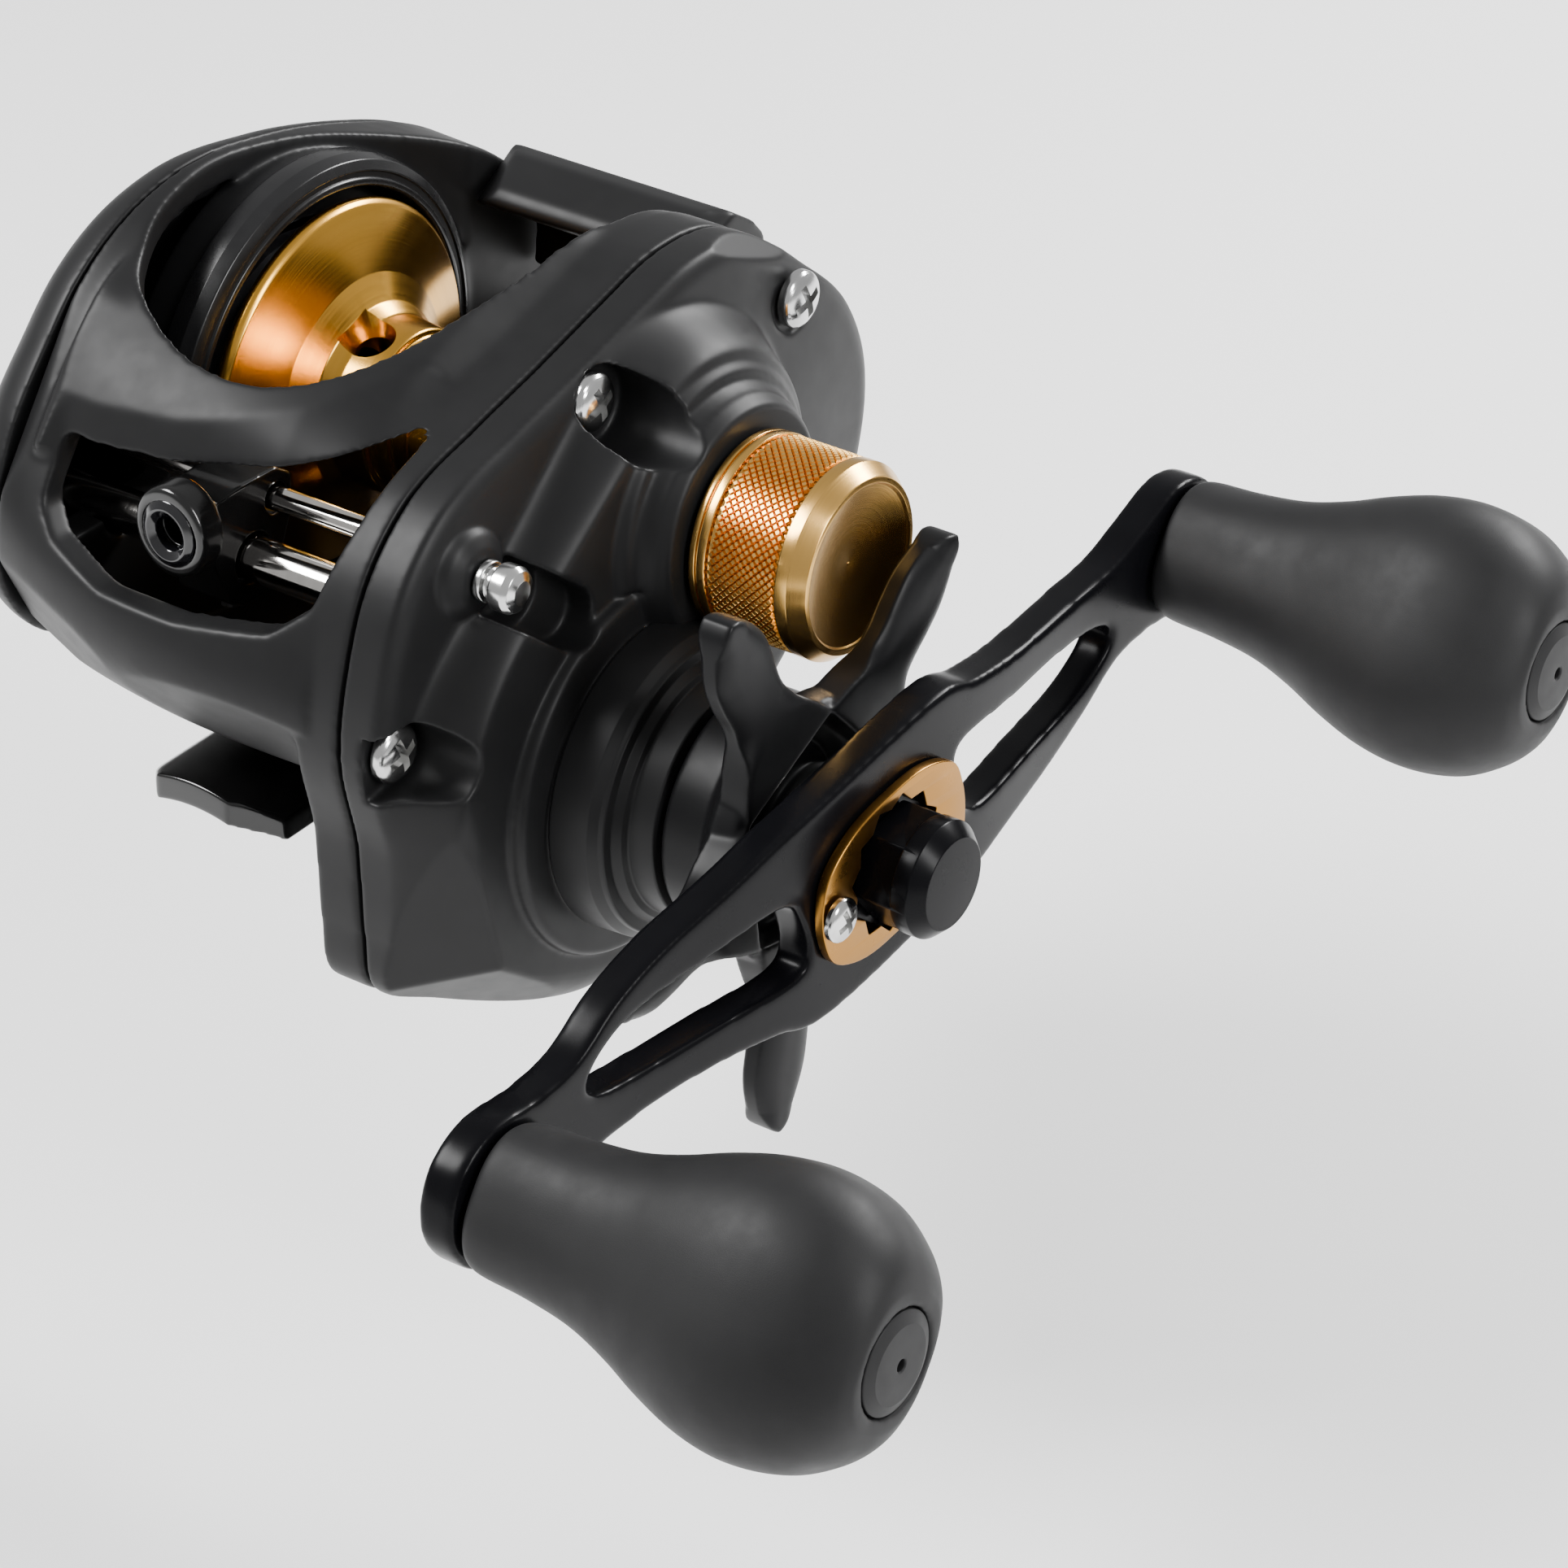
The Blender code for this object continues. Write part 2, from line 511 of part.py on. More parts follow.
# ------------------------------------------------------------------ spool group
def make_spool():
    outer = [(-13.2, 15.4), (-12.9, SPOOL_RIM), (-12.2, SPOOL_RIM), (-11.4, 14.2), (-10.2, 11.2),
             (-8.6, 8.5), (-6.4, 6.7), (-3.5, 5.9), (0, 5.5), (3, 5.6), (5.5, 6.5), (8, 8.7),
             (10, 12), (11.3, 15), (11.8, SPOOL_RIM), (12.3, SPOOL_RIM), (12.4, 15.6)]
    inner = [(-13.2, 14.2), (-11.6, 11.2), (-9.8, 8.0), (-7.6, 4.6), (-5.8, SHAFT_R + GAP),
             (5.8, SHAFT_R + GAP), (7.2, 4.8), (9.4, 8.6), (11.2, 12.2), (12.4, 14.6)]
    spool = turned("spool", outer, GOLD, inner, steps=24)
    bpy.context.view_layer.update()
    hole = bpy.data.objects.new("spool_line_hole", bpy.data.meshes.new("spool_line_hole"))
    bm = bmesh.new()
    bmesh.ops.create_cone(bm, cap_ends=True, segments=16, radius1=1.6 * MM, radius2=1.6 * MM,
                          depth=30 * MM)
    bm.to_mesh(hole.data)
    bm.free()
    hole.matrix_world = (Matrix.Translation(Vector((-4.6, 0, SPOOL[1])) * MM)
                         @ Matrix.Rotation(radians(20), 4, "X"))
    finish(hole, None, True)
    cut(spool, hole)


def spool_group():
    make_spool()
    turned("spool_shaft", [(-22.4, SHAFT_R), (38.6, SHAFT_R), (38.9, 0.7)], STEEL, steps=16)
    pin = rod("shaft_cross_pin", -2.4, 2.4, 0.5, STEEL, steps=10)
    pin.matrix_world = Matrix.Translation(Vector((15.3, 0, SPOOL[1])) * MM)
    pin_hole = rod("shaft_pin_hole", -2.4, 2.4, 0.8, steps=10, cutter=True)
    pin_hole.matrix_world = pin.matrix_world
    cut(bpy.data.objects["spool_shaft"], pin_hole)
    tube("palm_spool_bearing", -22.2, -19.7, 3.2, 1.5, STEEL, steps=24)
    tube("handle_side_spool_bearing", 31.5, 34.1, 5.2, 1.5, STEEL, steps=24)


# ------------------------------------------------------------------ gear train
def gear_group():
    to_spool = atan2(SPOOL[1] - DRIVE[1], SPOOL[0] - DRIVE[0])
    to_worm = atan2(WORM[1] - DRIVE[1], WORM[0] - DRIVE[0])
    plate("main_gear", [gear_outline(MAIN_TEETH, MAIN_MODULE, to_spool), circle(2.9)], 19.8, 22.6,
          BRASS, DRIVE)
    plate("level_wind_drive_gear", [gear_outline(WIND_TEETH, WIND_MODULE, to_worm), circle(2.6)],
          17.5, 18.7, GREY_PLASTIC, DRIVE)
    plate("worm_gear", [gear_outline(WORM_TEETH, WIND_MODULE, to_worm + pi + pi / WORM_TEETH),
                        circle(1.55, 16)], 17.5, 18.7, GREY_PLASTIC, WORM)
    teeth = plate("pinion", [gear_outline(PINION_TEETH, MAIN_MODULE,
                                          to_spool + pi + pi / PINION_TEETH)], 17.9, 24.0, BRASS)
    collar = rod("pinion_collar", 14.8, 18.0, 3.1, steps=24, cutter=True)
    neck = turned("pinion_neck", [(23.9, 1.95), (25.6, 1.95), (25.6, 3.0), (26.6, 3.0)], None,
                  steps=20, cutter=True)
    bore = rod("pinion_bore", 12, 30, SHAFT_R + GAP, steps=16, cutter=True)
    slot = block("pinion_slot", (12, -0.8, SPOOL[1] - 5), (16.3, 0.8, SPOOL[1] + 5), cutter=True)
    join(teeth, collar, neck)
    cut(teeth, bore, slot)
    tube("pinion_bearing", 14.8, 17.0, 5.3, 3.4, STEEL, steps=24)
    ratchet = [((7.0 if k % 2 else 8.6) * cos(2 * pi * k / 24), (7.0 if k % 2 else 8.6)
                * sin(2 * pi * k / 24)) for k in range(24)]
    plate("return_ratchet", [ratchet, circle(2.6)], 18.95, 19.5, STEEL, DRIVE)
    tube("drag_washer", 22.9, 23.5, 14.0, 4.0, CARBON, DRIVE, 24)
    tube("drag_pressure_plate", 23.8, 24.9, 14.2, 2.6, STEEL, DRIVE, 24)
    turned("drive_shaft", [(14.3, 2.2), (47.6, 2.2), (47.6, 1.9), (56.9, 1.9), (57.2, 1.5)], STEEL,
           centre=DRIVE, steps=20)
    tube("drive_shaft_bearing", 14.3, 17.0, 4.0, 2.5, STEEL, DRIVE, 24)
    tube("one_way_bearing", 26.2, 33.2, 7.9, 4.9, STEEL, DRIVE, 28)
    tube("bearing_sleeve", 25.3, 35.7, 4.6, 2.5, STEEL, DRIVE, 24)
    tube("drag_spring_washer", 36.0, 36.5, 6.5, 2.5, STEEL, DRIVE, 24)


def clutch_group():
    """Thumb bar with its lever, and the yoke that lifts the pinion off the cross pin."""
    section = [(18.4, 31.2), (19.4, 32.4), (23.5, 33.8), (27.2, 33.2), (30.2, 29.6), (30.9, 24.5),
               (29.6, 20.6), (27.8, 20.6), (28.3, 24.6), (26.2, 28.8), (20.4, 29.6)]
    bar = plate("thumb_bar", [section], -13.0, 10.6, SATIN_BLACK, (0, 0))
    tongue = block("thumb_bar_tongue", (10.0, 21.2, 22.4), (18.2, 24.2, 26.4), cutter=True)
    tongue_root = block("thumb_bar_tongue_root", (6.0, 21.2, 25.6), (10.5, 24.2, 31.5), cutter=True)
    tongue_link = block("thumb_bar_tongue_link", (6.0, 21.2, 22.4), (10.5, 24.2, 26.4), cutter=True)
    join(bar, tongue_root, tongue_link, tongue)
    plate("clutch_lever", [[(21.0, 19.8), (24.6, 19.8), (24.6, 22.0), (12, 22.4), (5.2, 22.0),
                            (5.2, 20.2), (12, 19.8)]], 17.5, 18.5, STEEL, (0, 0))
    across = (cos(radians(-30.8)), sin(radians(-30.8)))
    inward = (sin(radians(-30.8)), -cos(radians(-30.8)))
    reach, half = 7.2, 1.9
    corners = [(-reach, -half), (-2.35, -half), (-2.35, 4.2), (2.35, 4.2), (2.35, -half),
               (reach, -half), (reach, half + 3.6), (-reach, half + 3.6)]
    outline = [(u * across[0] - v * inward[0], u * across[1] - v * inward[1]) for u, v in corners]
    plate("clutch_yoke", [outline], 24.35, 25.25, GREY_PLASTIC, SPOOL)
    for k, side in enumerate((-1, 1)):
        u, v = side * 5.2, 3.4
        spring(f"yoke_spring_{k + 1}", (SPOOL[0] + u * across[0] - v * inward[0],
                                        SPOOL[1] + u * across[1] - v * inward[1]))


def spring(name, centre):
    """Small coil standing on the yoke, drawn at its pressed length."""
    turns, radius, wire, x0, x1 = 2.5, 1.1, 0.16, 25.75, 26.9
    curve = bpy.data.curves.new(name, "CURVE")
    curve.dimensions = "3D"
    curve.bevel_depth = wire * MM
    curve.bevel_resolution = 1
    curve.use_fill_caps = True
    count = int(turns * 8)
    spline = curve.splines.new("POLY")
    spline.points.add(count)
    for k in range(count + 1):
        a = 2 * pi * turns * k / count
        point = Vector((x0 + (x1 - x0) * k / count, centre[0] + radius * cos(a),
                        centre[1] + radius * sin(a))) * MM
        spline.points[k].co = (*point, 1)
    finish(bpy.data.objects.new(name, curve), STEEL)


# ------------------------------------------------------------------ controls
STAR_HUB = [(36.9, 8.6), (42.2, 12.2), (44.6, 12.0)]
STAR_DISH = [(36.9, 2.5), (44.0, 2.5), (44.0, 5.6), (41.4, 6.6), (41.4, 8.4), (44.6, 11.2)]
STAR_ARM = [(10.9, 3.6), (13.2, 3.2), (15.5, 2.4), (19, 2.3), (23, 2.9), (25.6, 2.4), (STAR_REACH, 1.0)]
STAR_ARM_X = (42.2, 44.8)
STAR_ARM_SLOPE = 0.05          # outboard lean of the arms beyond STAR_LEAN_FROM
STAR_LEAN_FROM = 16.0


def make_star():
    """Five-armed star; the hub is dished so that the arms pass over the tension knob."""
    star = turned("star_drag", STAR_HUB, BLACK_ANODISED, STAR_DISH, DRIVE, 28)
    for k in range(STAR_ARMS):
        a = STAR_FIRST_ARM + 2 * pi * k / STAR_ARMS
        half = [(r, w) for r, w in STAR_ARM] + [(r, -w) for r, w in reversed(STAR_ARM)]
        outline = [(r * cos(a) - w * sin(a), r * sin(a) + w * cos(a)) for r, w in half]
        arm = plate(f"star_arm_{k}", [outline], *STAR_ARM_X, None, DRIVE, cutter=True)
        for vert in arm.data.vertices:
            reach = (vert.co.x ** 2 + vert.co.y ** 2) ** 0.5 / MM
            vert.co.z += max(reach - STAR_LEAN_FROM, 0) * STAR_ARM_SLOPE * MM
        join(star, arm)


ARM_EDGE = [(8.5, 10.2), (15, 7.9), (22, 6.0), (30, 4.8), (37, 4.3), (42, 5.2), (47.5, 6.2),
            (51.9, 4.4), (53.7, 0), (51.9, -4.4), (47.5, -6.2), (42, -5.2), (37, -5.2), (32, -7.2),
            (26, -8.6), (18, -9.4), (10, -10.2)]
ARM_SLOT = [(11.2, 3.6), (20, 2.5), (30, 0.9), (35, -0.5), (36.4, -2.2), (34.6, -3.9), (30, -5.0),
            (22, -4.6), (13.5, -3.9), (11.2, -1.5)]


def handle_point(u, v, flip):
    sign = -1 if flip else 1
    c, s = cos(HANDLE_ANGLE), sin(HANDLE_ANGLE)
    return (sign * (u * c - v * s), sign * (u * s + v * c))


def make_handle():
    outline = [handle_point(u, v, False) for u, v in ARM_EDGE]
    outline += [handle_point(u, v, True) for u, v in ARM_EDGE]
    slots = [[handle_point(u, v, flip) for u, v in ARM_SLOT] for flip in (False, True)]
    ends = [circle(2.35, 16, handle_point(HANDLE_HALF, 0, flip)) for flip in (False, True)]
    arm = plate("handle_arm", [outline, circle(2.3, 20)] + slots + ends, 48.5, 51.7,
                BLACK_ANODISED, DRIVE)
    for vert in arm.data.vertices:
        r = (vert.co.x ** 2 + vert.co.y ** 2) ** 0.5 / MM
        drop = min(max((r - 9) / 26, 0.0), 1.0)
        vert.co.z -= 2.0 * drop * drop * (3 - 2 * drop) * MM


def make_retainer():
    outline = [(-10.4, -2.6), (-8.0, -6.4), (-3.4, -7.4), (3.4, -7.4), (8.0, -6.4), (10.4, -2.6),
               (10.4, 2.6), (8.0, 6.4), (3.4, 7.4), (-3.4, 7.4), (-8.0, 6.4), (-10.4, 2.6)]
    teeth = [((6.7 if k % 2 else 5.9) * cos(2 * pi * k / 24), (6.7 if k % 2 else 5.9)
              * sin(2 * pi * k / 24)) for k in range(24)]
    hole = circle(0.95, 12, (-8.5, 0.4))
    turned_outline = [[handle_point(u, v, False) for u, v in loop] for loop in (outline, teeth, hole)]
    plate("nut_retainer", turned_outline, 52.0, 52.9, GOLD, DRIVE)
    spot = handle_point(-8.5, 0.4, False)
    cut(bpy.data.objects["handle_arm"],
        rod("arm_screw_hole", 49.4, 60, 1.0, centre=(DRIVE[0] + spot[0], DRIVE[1] + spot[1]), steps=12,
            cutter=True))
    screw("retainer_screw", 53.2, (DRIVE[0] + spot[0], DRIVE[1] + spot[1]), 1.9, 1.1, 49.8, 0.65)


def make_nut():
    nut = plate("handle_nut", [circle(5.9, 6, phase=HANDLE_ANGLE)], 52.0, 56.0, BLACK_ANODISED, DRIVE)
    cone = turned("nut_end", [(55.9, 5.1), (57.3, 5.1), (58.4, 4.0)], None, centre=DRIVE, steps=28,
                  cutter=True)
    bore = rod("nut_bore", 50, 57.5, 2.2, centre=DRIVE, steps=20, cutter=True)
    join(nut, cone)
    cut(nut, bore)


KNOB_PROFILE = [(50.1, 5.0, 4.8), (51.2, 5.7, 5.4), (55.5, 6.1, 5.6), (60, 7.0, 6.2), (64, 8.6, 7.3),
                (68, 10.6, 8.7), (72, 11.4, 9.5), (76, 11.2, 9.4), (80, 9.6, 8.2), (83.4, 7.2, 6.4),
                (85.4, 5.2, 5.0)]


def make_knobs():
    for k, flip in enumerate((False, True)):
        spot = handle_point(HANDLE_HALF, 0, flip)
        centre = (DRIVE[0] + spot[0], DRIVE[1] + spot[1])
        knob = elliptic_loft(f"knob_{k + 1}", KNOB_PROFILE, centre, RUBBER)
        cut(knob, rod(f"knob_bore_{k}", 45, 84.2, 2.35, centre=centre, steps=16, cutter=True),
            rod(f"knob_cap_seat_{k}", 83.9, 90, 4.5, centre=centre, steps=24, cutter=True))
        turned(f"knob_cap_{k + 1}", [(84.2, 4.2), (85.6, 4.2), (86.0, 3.6)], GLOSS_BLACK,
               [(84.2, 0.5), (86.0, 0.5)], centre, 24)
        turned(f"knob_post_{k + 1}", [(45.2, 3.6), (46.2, 3.6), (46.2, 2.05), (83.6, 2.05)], STEEL,
               centre=centre, steps=16)


def elliptic_loft(name, profile, centre, mat, count=18):
    mesh = bpy.data.meshes.new(name)
    bm = bmesh.new()
    c, s = cos(KNOB_ANGLE), sin(KNOB_ANGLE)
    rings = []
    for x, wide, deep in profile:
        ring = []
        for k in range(count):
            a = 2 * pi * k / count
            p, q = wide * cos(a), deep * sin(a)
            ring.append(bm.verts.new(Vector((p * c - q * s, p * s + q * c, x)) * MM))
        rings.append(ring)
    for low, high in zip(rings, rings[1:]):
        for k in range(count):
            n = (k + 1) % count
            bm.faces.new((low[k], low[n], high[n], high[k]))
    bm.faces.new(list(reversed(rings[0])))
    bm.faces.new(rings[-1])
    bmesh.ops.recalc_face_normals(bm, faces=bm.faces)
    bm.to_mesh(mesh)
    bm.free()
    obj = bpy.data.objects.new(name, mesh)
    place_on_x(obj, centre)
    return finish(obj, mat)


def tension_group():
    turned("tension_knob", [(30.7, 8.5), (31.5, 8.5), (31.5, 8.0), (32.1, 8.0), (32.1, 8.5),
                            (37.2, 8.5), (37.2, 8.2), (37.6, 8.2), (37.6, 8.5), (40.7, 8.4),
                            (41.6, 7.6), (41.6, 6.9), (41.1, 6.6), (40.8, 3.0)], GOLD,
           centre=SPOOL, steps=24)
    cut(bpy.data.objects["tension_knob"],
        turned("knob_thread_room", [(28, 7.3), (38.6, 7.3), (38.6, 2.4), (40.0, 2.4)], None,
               cutter=True))
    rod("tension_shim", 39.2, 39.7, 2.0, STEEL, steps=16)
    tube("tension_o_ring", 34.6, 35.4, 5.2, 4.2, RUBBER, steps=24)


def brake_group():
    turned("brake_dial", [(-28.6, 9.6), (-28.2, 11.0), (-27.4, 11.0)], BLACK_ANODISED, steps=28)
    pointer = block("dial_grip", (-30, -9.5, SPOOL[1] - 1.0), (-28.2, 9.5, SPOOL[1] + 1.0), cutter=True)
    cut(bpy.data.objects["brake_dial"], pointer)
    tube("magnet_carrier", -17.7, -16.6, 12.6, 5.2, GREY_PLASTIC, steps=24)
    tube("brake_magnet_ring", -16.3, -15.0, 11.6, 6.4, STEEL, steps=24)


def level_wind_group():
    turned("worm_shaft", [(-14.9, 1.15), (15.6, 1.15), (15.6, 1.25), (19.0, 1.25)], STEEL,
           centre=WORM, steps=16)
    guard = tube("worm_guard_tube", -14.9, 15.9, 1.9, 1.45, CHROME, WORM, 20)
    pawl_slot = block("guard_pawl_slot", (-12, WORM[0] - 0.85, WORM[1] - 4), (11, WORM[0] + 0.85,
                      WORM[1] - 0.7), cutter=True)
    cut(guard, pawl_slot)
    rod("guide_bar", -14.9, 14.3, 1.05, CHROME, GUIDE, 16)
    make_line_guide()


CARRIAGE_X = -2.2


def make_line_guide():
    """Carriage on the guard tube and the guide bar, with the line ring on its front."""
    low, high = CARRIAGE_X - 2.7, CARRIAGE_X + 2.7
    side = [(-31.2, 22.4), (-29.4, 17.4), (-27.8, 16.6), (-24.8, 16.6), (-23.2, 18.4), (-21.4, 22.6),
            (-21.2, 26.0), (-23.0, 27.2), (-27.2, 27.4), (-31.2, 27.2)]
    carriage = plate("line_guide", [side], low, high, GLOSS_BLACK, (0, 0))
    nozzle = along_y("guide_nozzle", 3.2, -33.4, -30.5, (CARRIAGE_X, 24.9), 28)
    throat = along_y("guide_throat", 1.9, -36, -33.0 + 0.8, (CARRIAGE_X, 24.9), 20)
    passage = along_y("guide_passage", 1.3, -36, -18, (CARRIAGE_X, 24.9), 16)
    join(carriage, nozzle)
    cut(carriage, rod("guide_worm_bore", -30, 30, 2.2, centre=WORM, steps=20, cutter=True),
        throat, passage)
    cut(carriage, rod("guide_bar_bore", -30, 30, 1.35, centre=GUIDE, steps=16, cutter=True))
    pawl_room = turned("guide_pawl_room", [(10, 1.3), (20, 1.3)], None, steps=16, cutter=True)
    pawl_room.matrix_world = Matrix.Translation(Vector((CARRIAGE_X, WORM[0], 0)) * MM)
    cut(carriage, pawl_room)
    pawl = turned("level_wind_pawl", [(16.9, 0.55), (18.9, 0.55)], BRASS, steps=12)
    pawl.matrix_world = Matrix.Translation(Vector((CARRIAGE_X, WORM[0], 0)) * MM)
    cap = turned("pawl_cap", [(15.4, 0.95), (16.6, 0.95)], STEEL, steps=16)
    cap.matrix_world = Matrix.Translation(Vector((CARRIAGE_X, WORM[0], 0)) * MM)
    ring = along_y("guide_ring", 1.6, -33.3, -32.5, (CARRIAGE_X, 24.9), 24, cutter=False)
    cut(ring, along_y("guide_ring_hole", 0.95, -36, -30, (CARRIAGE_X, 24.9), 20))


def along_y(name, radius, y0, y1, at, segments, cutter=True):
    """Cylinder along Y at (x, z)."""
    mesh = bpy.data.meshes.new(name)
    bm = bmesh.new()
    bmesh.ops.create_cone(bm, cap_ends=True, segments=segments, radius1=radius * MM,
                          radius2=radius * MM, depth=(y1 - y0) * MM)
    bm.to_mesh(mesh)
    bm.free()
    obj = bpy.data.objects.new(name, mesh)
    obj.location = Vector((at[0], (y0 + y1) / 2, at[1])) * MM
    obj.rotation_euler = (pi / 2, 0, 0)
    return finish(obj, None if cutter else CERAMIC, cutter)


make_frame()
make_foot()
make_palm_cover()
make_gear_cover()
cover_parts()
spool_group()
gear_group()
clutch_group()
make_star()
make_handle()
make_retainer()
make_nut()
make_knobs()
tension_group()
brake_group()
level_wind_group()
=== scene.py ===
"""Looks of the low-profile baitcasting reel: fine shells, turned metal, knurling and materials.

Lengths are millimetres, and MM turns them into metres.  +X is the handle side, -Y the line
side and +Z is up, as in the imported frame.
"""
import json
from math import atan2, cos, pi, radians, sin, sqrt, tan

import bmesh
import bpy
import numpy as np
from mathutils import Matrix, Vector


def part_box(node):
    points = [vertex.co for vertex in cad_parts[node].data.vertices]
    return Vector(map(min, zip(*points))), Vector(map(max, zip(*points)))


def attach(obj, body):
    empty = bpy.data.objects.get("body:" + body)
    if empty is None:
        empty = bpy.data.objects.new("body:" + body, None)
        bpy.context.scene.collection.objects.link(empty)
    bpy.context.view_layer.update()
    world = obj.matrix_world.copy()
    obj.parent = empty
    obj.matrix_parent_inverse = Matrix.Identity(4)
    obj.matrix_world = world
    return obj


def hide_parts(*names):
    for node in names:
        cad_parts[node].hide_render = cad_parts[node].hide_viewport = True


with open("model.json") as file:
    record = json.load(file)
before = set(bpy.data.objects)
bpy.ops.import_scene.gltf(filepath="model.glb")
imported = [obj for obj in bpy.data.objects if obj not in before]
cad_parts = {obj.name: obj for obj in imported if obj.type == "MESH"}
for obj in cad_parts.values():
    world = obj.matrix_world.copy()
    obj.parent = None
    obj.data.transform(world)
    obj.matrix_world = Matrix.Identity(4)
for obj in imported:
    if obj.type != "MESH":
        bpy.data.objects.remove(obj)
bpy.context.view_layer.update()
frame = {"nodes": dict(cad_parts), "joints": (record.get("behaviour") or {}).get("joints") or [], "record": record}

MM = 0.001
SHARP, ROD_SHARP = 0.001, 0.0001  # fillets too small to see


# -------- places, from the frame
def joint_axis(name):
    """(y, z) of a joint's axis, in millimetres."""
    place = next(joint for joint in frame["joints"] if joint["name"] == name)["pos_m"]
    return place[1] / MM, place[2] / MM


def middle(node):
    low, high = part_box(node)
    return (low + high) / 2 / MM


def span(node):
    """Lowest and highest x of a node, in millimetres."""
    low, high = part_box(node)
    return low.x / MM, high.x / MM


SPOOL = joint_axis("spool_spin")
DRIVE = joint_axis("handle_spin")
WORM = joint_axis("worm_spin")
GUIDE = tuple(middle("guide_bar"))[1:]
KNOBS = {1: joint_axis("knob_1_spin"), 2: joint_axis("knob_2_spin")}
HANDLE_ANGLE = atan2(KNOBS[1][1] - DRIVE[1], KNOBS[1][0] - DRIVE[0])
HANDLE_HALF = sqrt((KNOBS[1][0] - DRIVE[0]) ** 2 + (KNOBS[1][1] - DRIVE[1]) ** 2)
FRAME_LEFT, SEAM = span("frame")
COVER_START = span("gear_side_cover")[0]


# -------- outlines and curves
STRAIGHT = radians(172)  # flatter corners stay as they are
LONGEST_FILLET = 0.46  # share of a side that a fillet may use


def filleted(points, radius, closed=True, count=4):
    """The polygon with its corners rounded off."""
    result = []
    total = len(points)
    for i, point in enumerate(points):
        if not closed and i in (0, total - 1):
            result.append(tuple(point))
            continue
        before, here = Vector(points[i - 1]), Vector(point)
        after = Vector(points[(i + 1) % total])
        back, on = before - here, after - here
        corner = back.angle(on)
        if corner > STRAIGHT:
            result.append(tuple(point))
            continue
        reach = min(radius / tan(corner / 2), *(LONGEST_FILLET * side.length for side in (back, on)))
        start, end = here + back.normalized() * reach, here + on.normalized() * reach
        for k in range(count + 1):
            t = k / count
            result.append(tuple((1 - t) ** 2 * start + 2 * t * (1 - t) * here + t * t * end))
    return result


def between(a, b, c, d, t):
    """Point of the smooth curve from b to c, where a and d are the points on either side."""
    return 0.5 * (2 * b + (c - a) * t + (2 * a - 5 * b + 4 * c - d) * t * t
                  + (3 * b - a - 3 * c + d) * t ** 3)


def smooth_loop(points, per_side=6):
    """Closed curve through the points."""
    loop = [Vector(p) for p in points]
    result = []
    for i in range(len(loop)):
        near = [loop[(i + k) % len(loop)] for k in (-1, 0, 1, 2)]
        result += [tuple(between(*near, k / per_side)) for k in range(per_side)]
    return result


def smooth_rows(rows, per_step):
    """Open curve through rows of numbers, sampled between each pair."""
    table = np.array(rows, float)
    ends = np.vstack([2 * table[0] - table[1], table, 2 * table[-1] - table[-2]])
    result = []
    for i in range(len(ends) - 3):
        result += [between(*ends[i:i + 4], k / per_step) for k in range(per_step)]
    return np.array(result + [table[-1]])


def circle(radius, count=48, at=(0.0, 0.0), phase=0.0):
    return [(at[0] + radius * cos(phase + 2 * pi * k / count),
             at[1] + radius * sin(phase + 2 * pi * k / count)) for k in range(count)]


def stadium(start, end, radius, count=14):
    """Outline of a slot with round ends."""
    heading = atan2(end[1] - start[1], end[0] - start[0])
    points = []
    for (y, z), first in ((end, heading - pi / 2), (start, heading + pi / 2)):
        for k in range(count + 1):
            a = first + pi * k / count
            points.append((y + radius * cos(a), z + radius * sin(a)))
    return points


def handle_point(u, v, flip):
    """(y, z) about the drive axis of a point along and across the crank."""
    sign = -1 if flip else 1
    c, s = cos(HANDLE_ANGLE), sin(HANDLE_ANGLE)
    return (sign * (u * c - v * s), sign * (u * s + v * c))


# -------- meshes
def linked(name, data):
    """A new object in the scene."""
    obj = bpy.data.objects.new(name, data)
    bpy.context.scene.collection.objects.link(obj)
    return obj


def mesh_object(name, verts, faces):
    """Object from corners in millimetres."""
    mesh = bpy.data.meshes.new(name)
    mesh.from_pydata([Vector(v) * MM for v in verts], [], faces)
    tidy_mesh(mesh)
    return linked(name, mesh)


def tidy_mesh(mesh):
    """Merges corners that meet and turns every face outwards."""
    bm = bmesh.new()
    bm.from_mesh(mesh)
    bmesh.ops.remove_doubles(bm, verts=bm.verts, dist=0.000001)
    bmesh.ops.recalc_face_normals(bm, faces=bm.faces)
    bm.to_mesh(mesh)
    bm.free()


def bake(obj):
    """Applies the modifiers and the object's place to its mesh."""
    bpy.context.view_layer.update()
    depsgraph = bpy.context.evaluated_depsgraph_get()
    mesh = bpy.data.meshes.new_from_object(obj.evaluated_get(depsgraph))
    mesh.transform(obj.matrix_world)
    name = obj.name
    bpy.data.objects.remove(obj, do_unlink=True)
    return linked(name, mesh)


def turned(name, section, centre, fillet=0.15, steps=96, closed=False):
    """Turned about X; the section is (x, radius) points, from axis to axis or a closed loop."""
    section = filleted(section, fillet, closed)
    verts, rings = [], []
    for x, r in section:
        if r < 1e-6:
            rings.append([len(verts)] * steps)
            verts.append((x, centre[0], centre[1]))
            continue
        rings.append(list(range(len(verts), len(verts) + steps)))
        for k in range(steps):
            a = 2 * pi * k / steps
            verts.append((x, centre[0] + r * cos(a), centre[1] + r * sin(a)))
    faces = []
    for low, high in zip(rings, rings[1:] + (rings[:1] if closed else [])):
        for k in range(steps):
            n = (k + 1) % steps
            corners = list(dict.fromkeys((low[k], low[n], high[n], high[k])))
            if len(corners) > 2:
                faces.append(corners)
    return mesh_object(name, verts, faces)


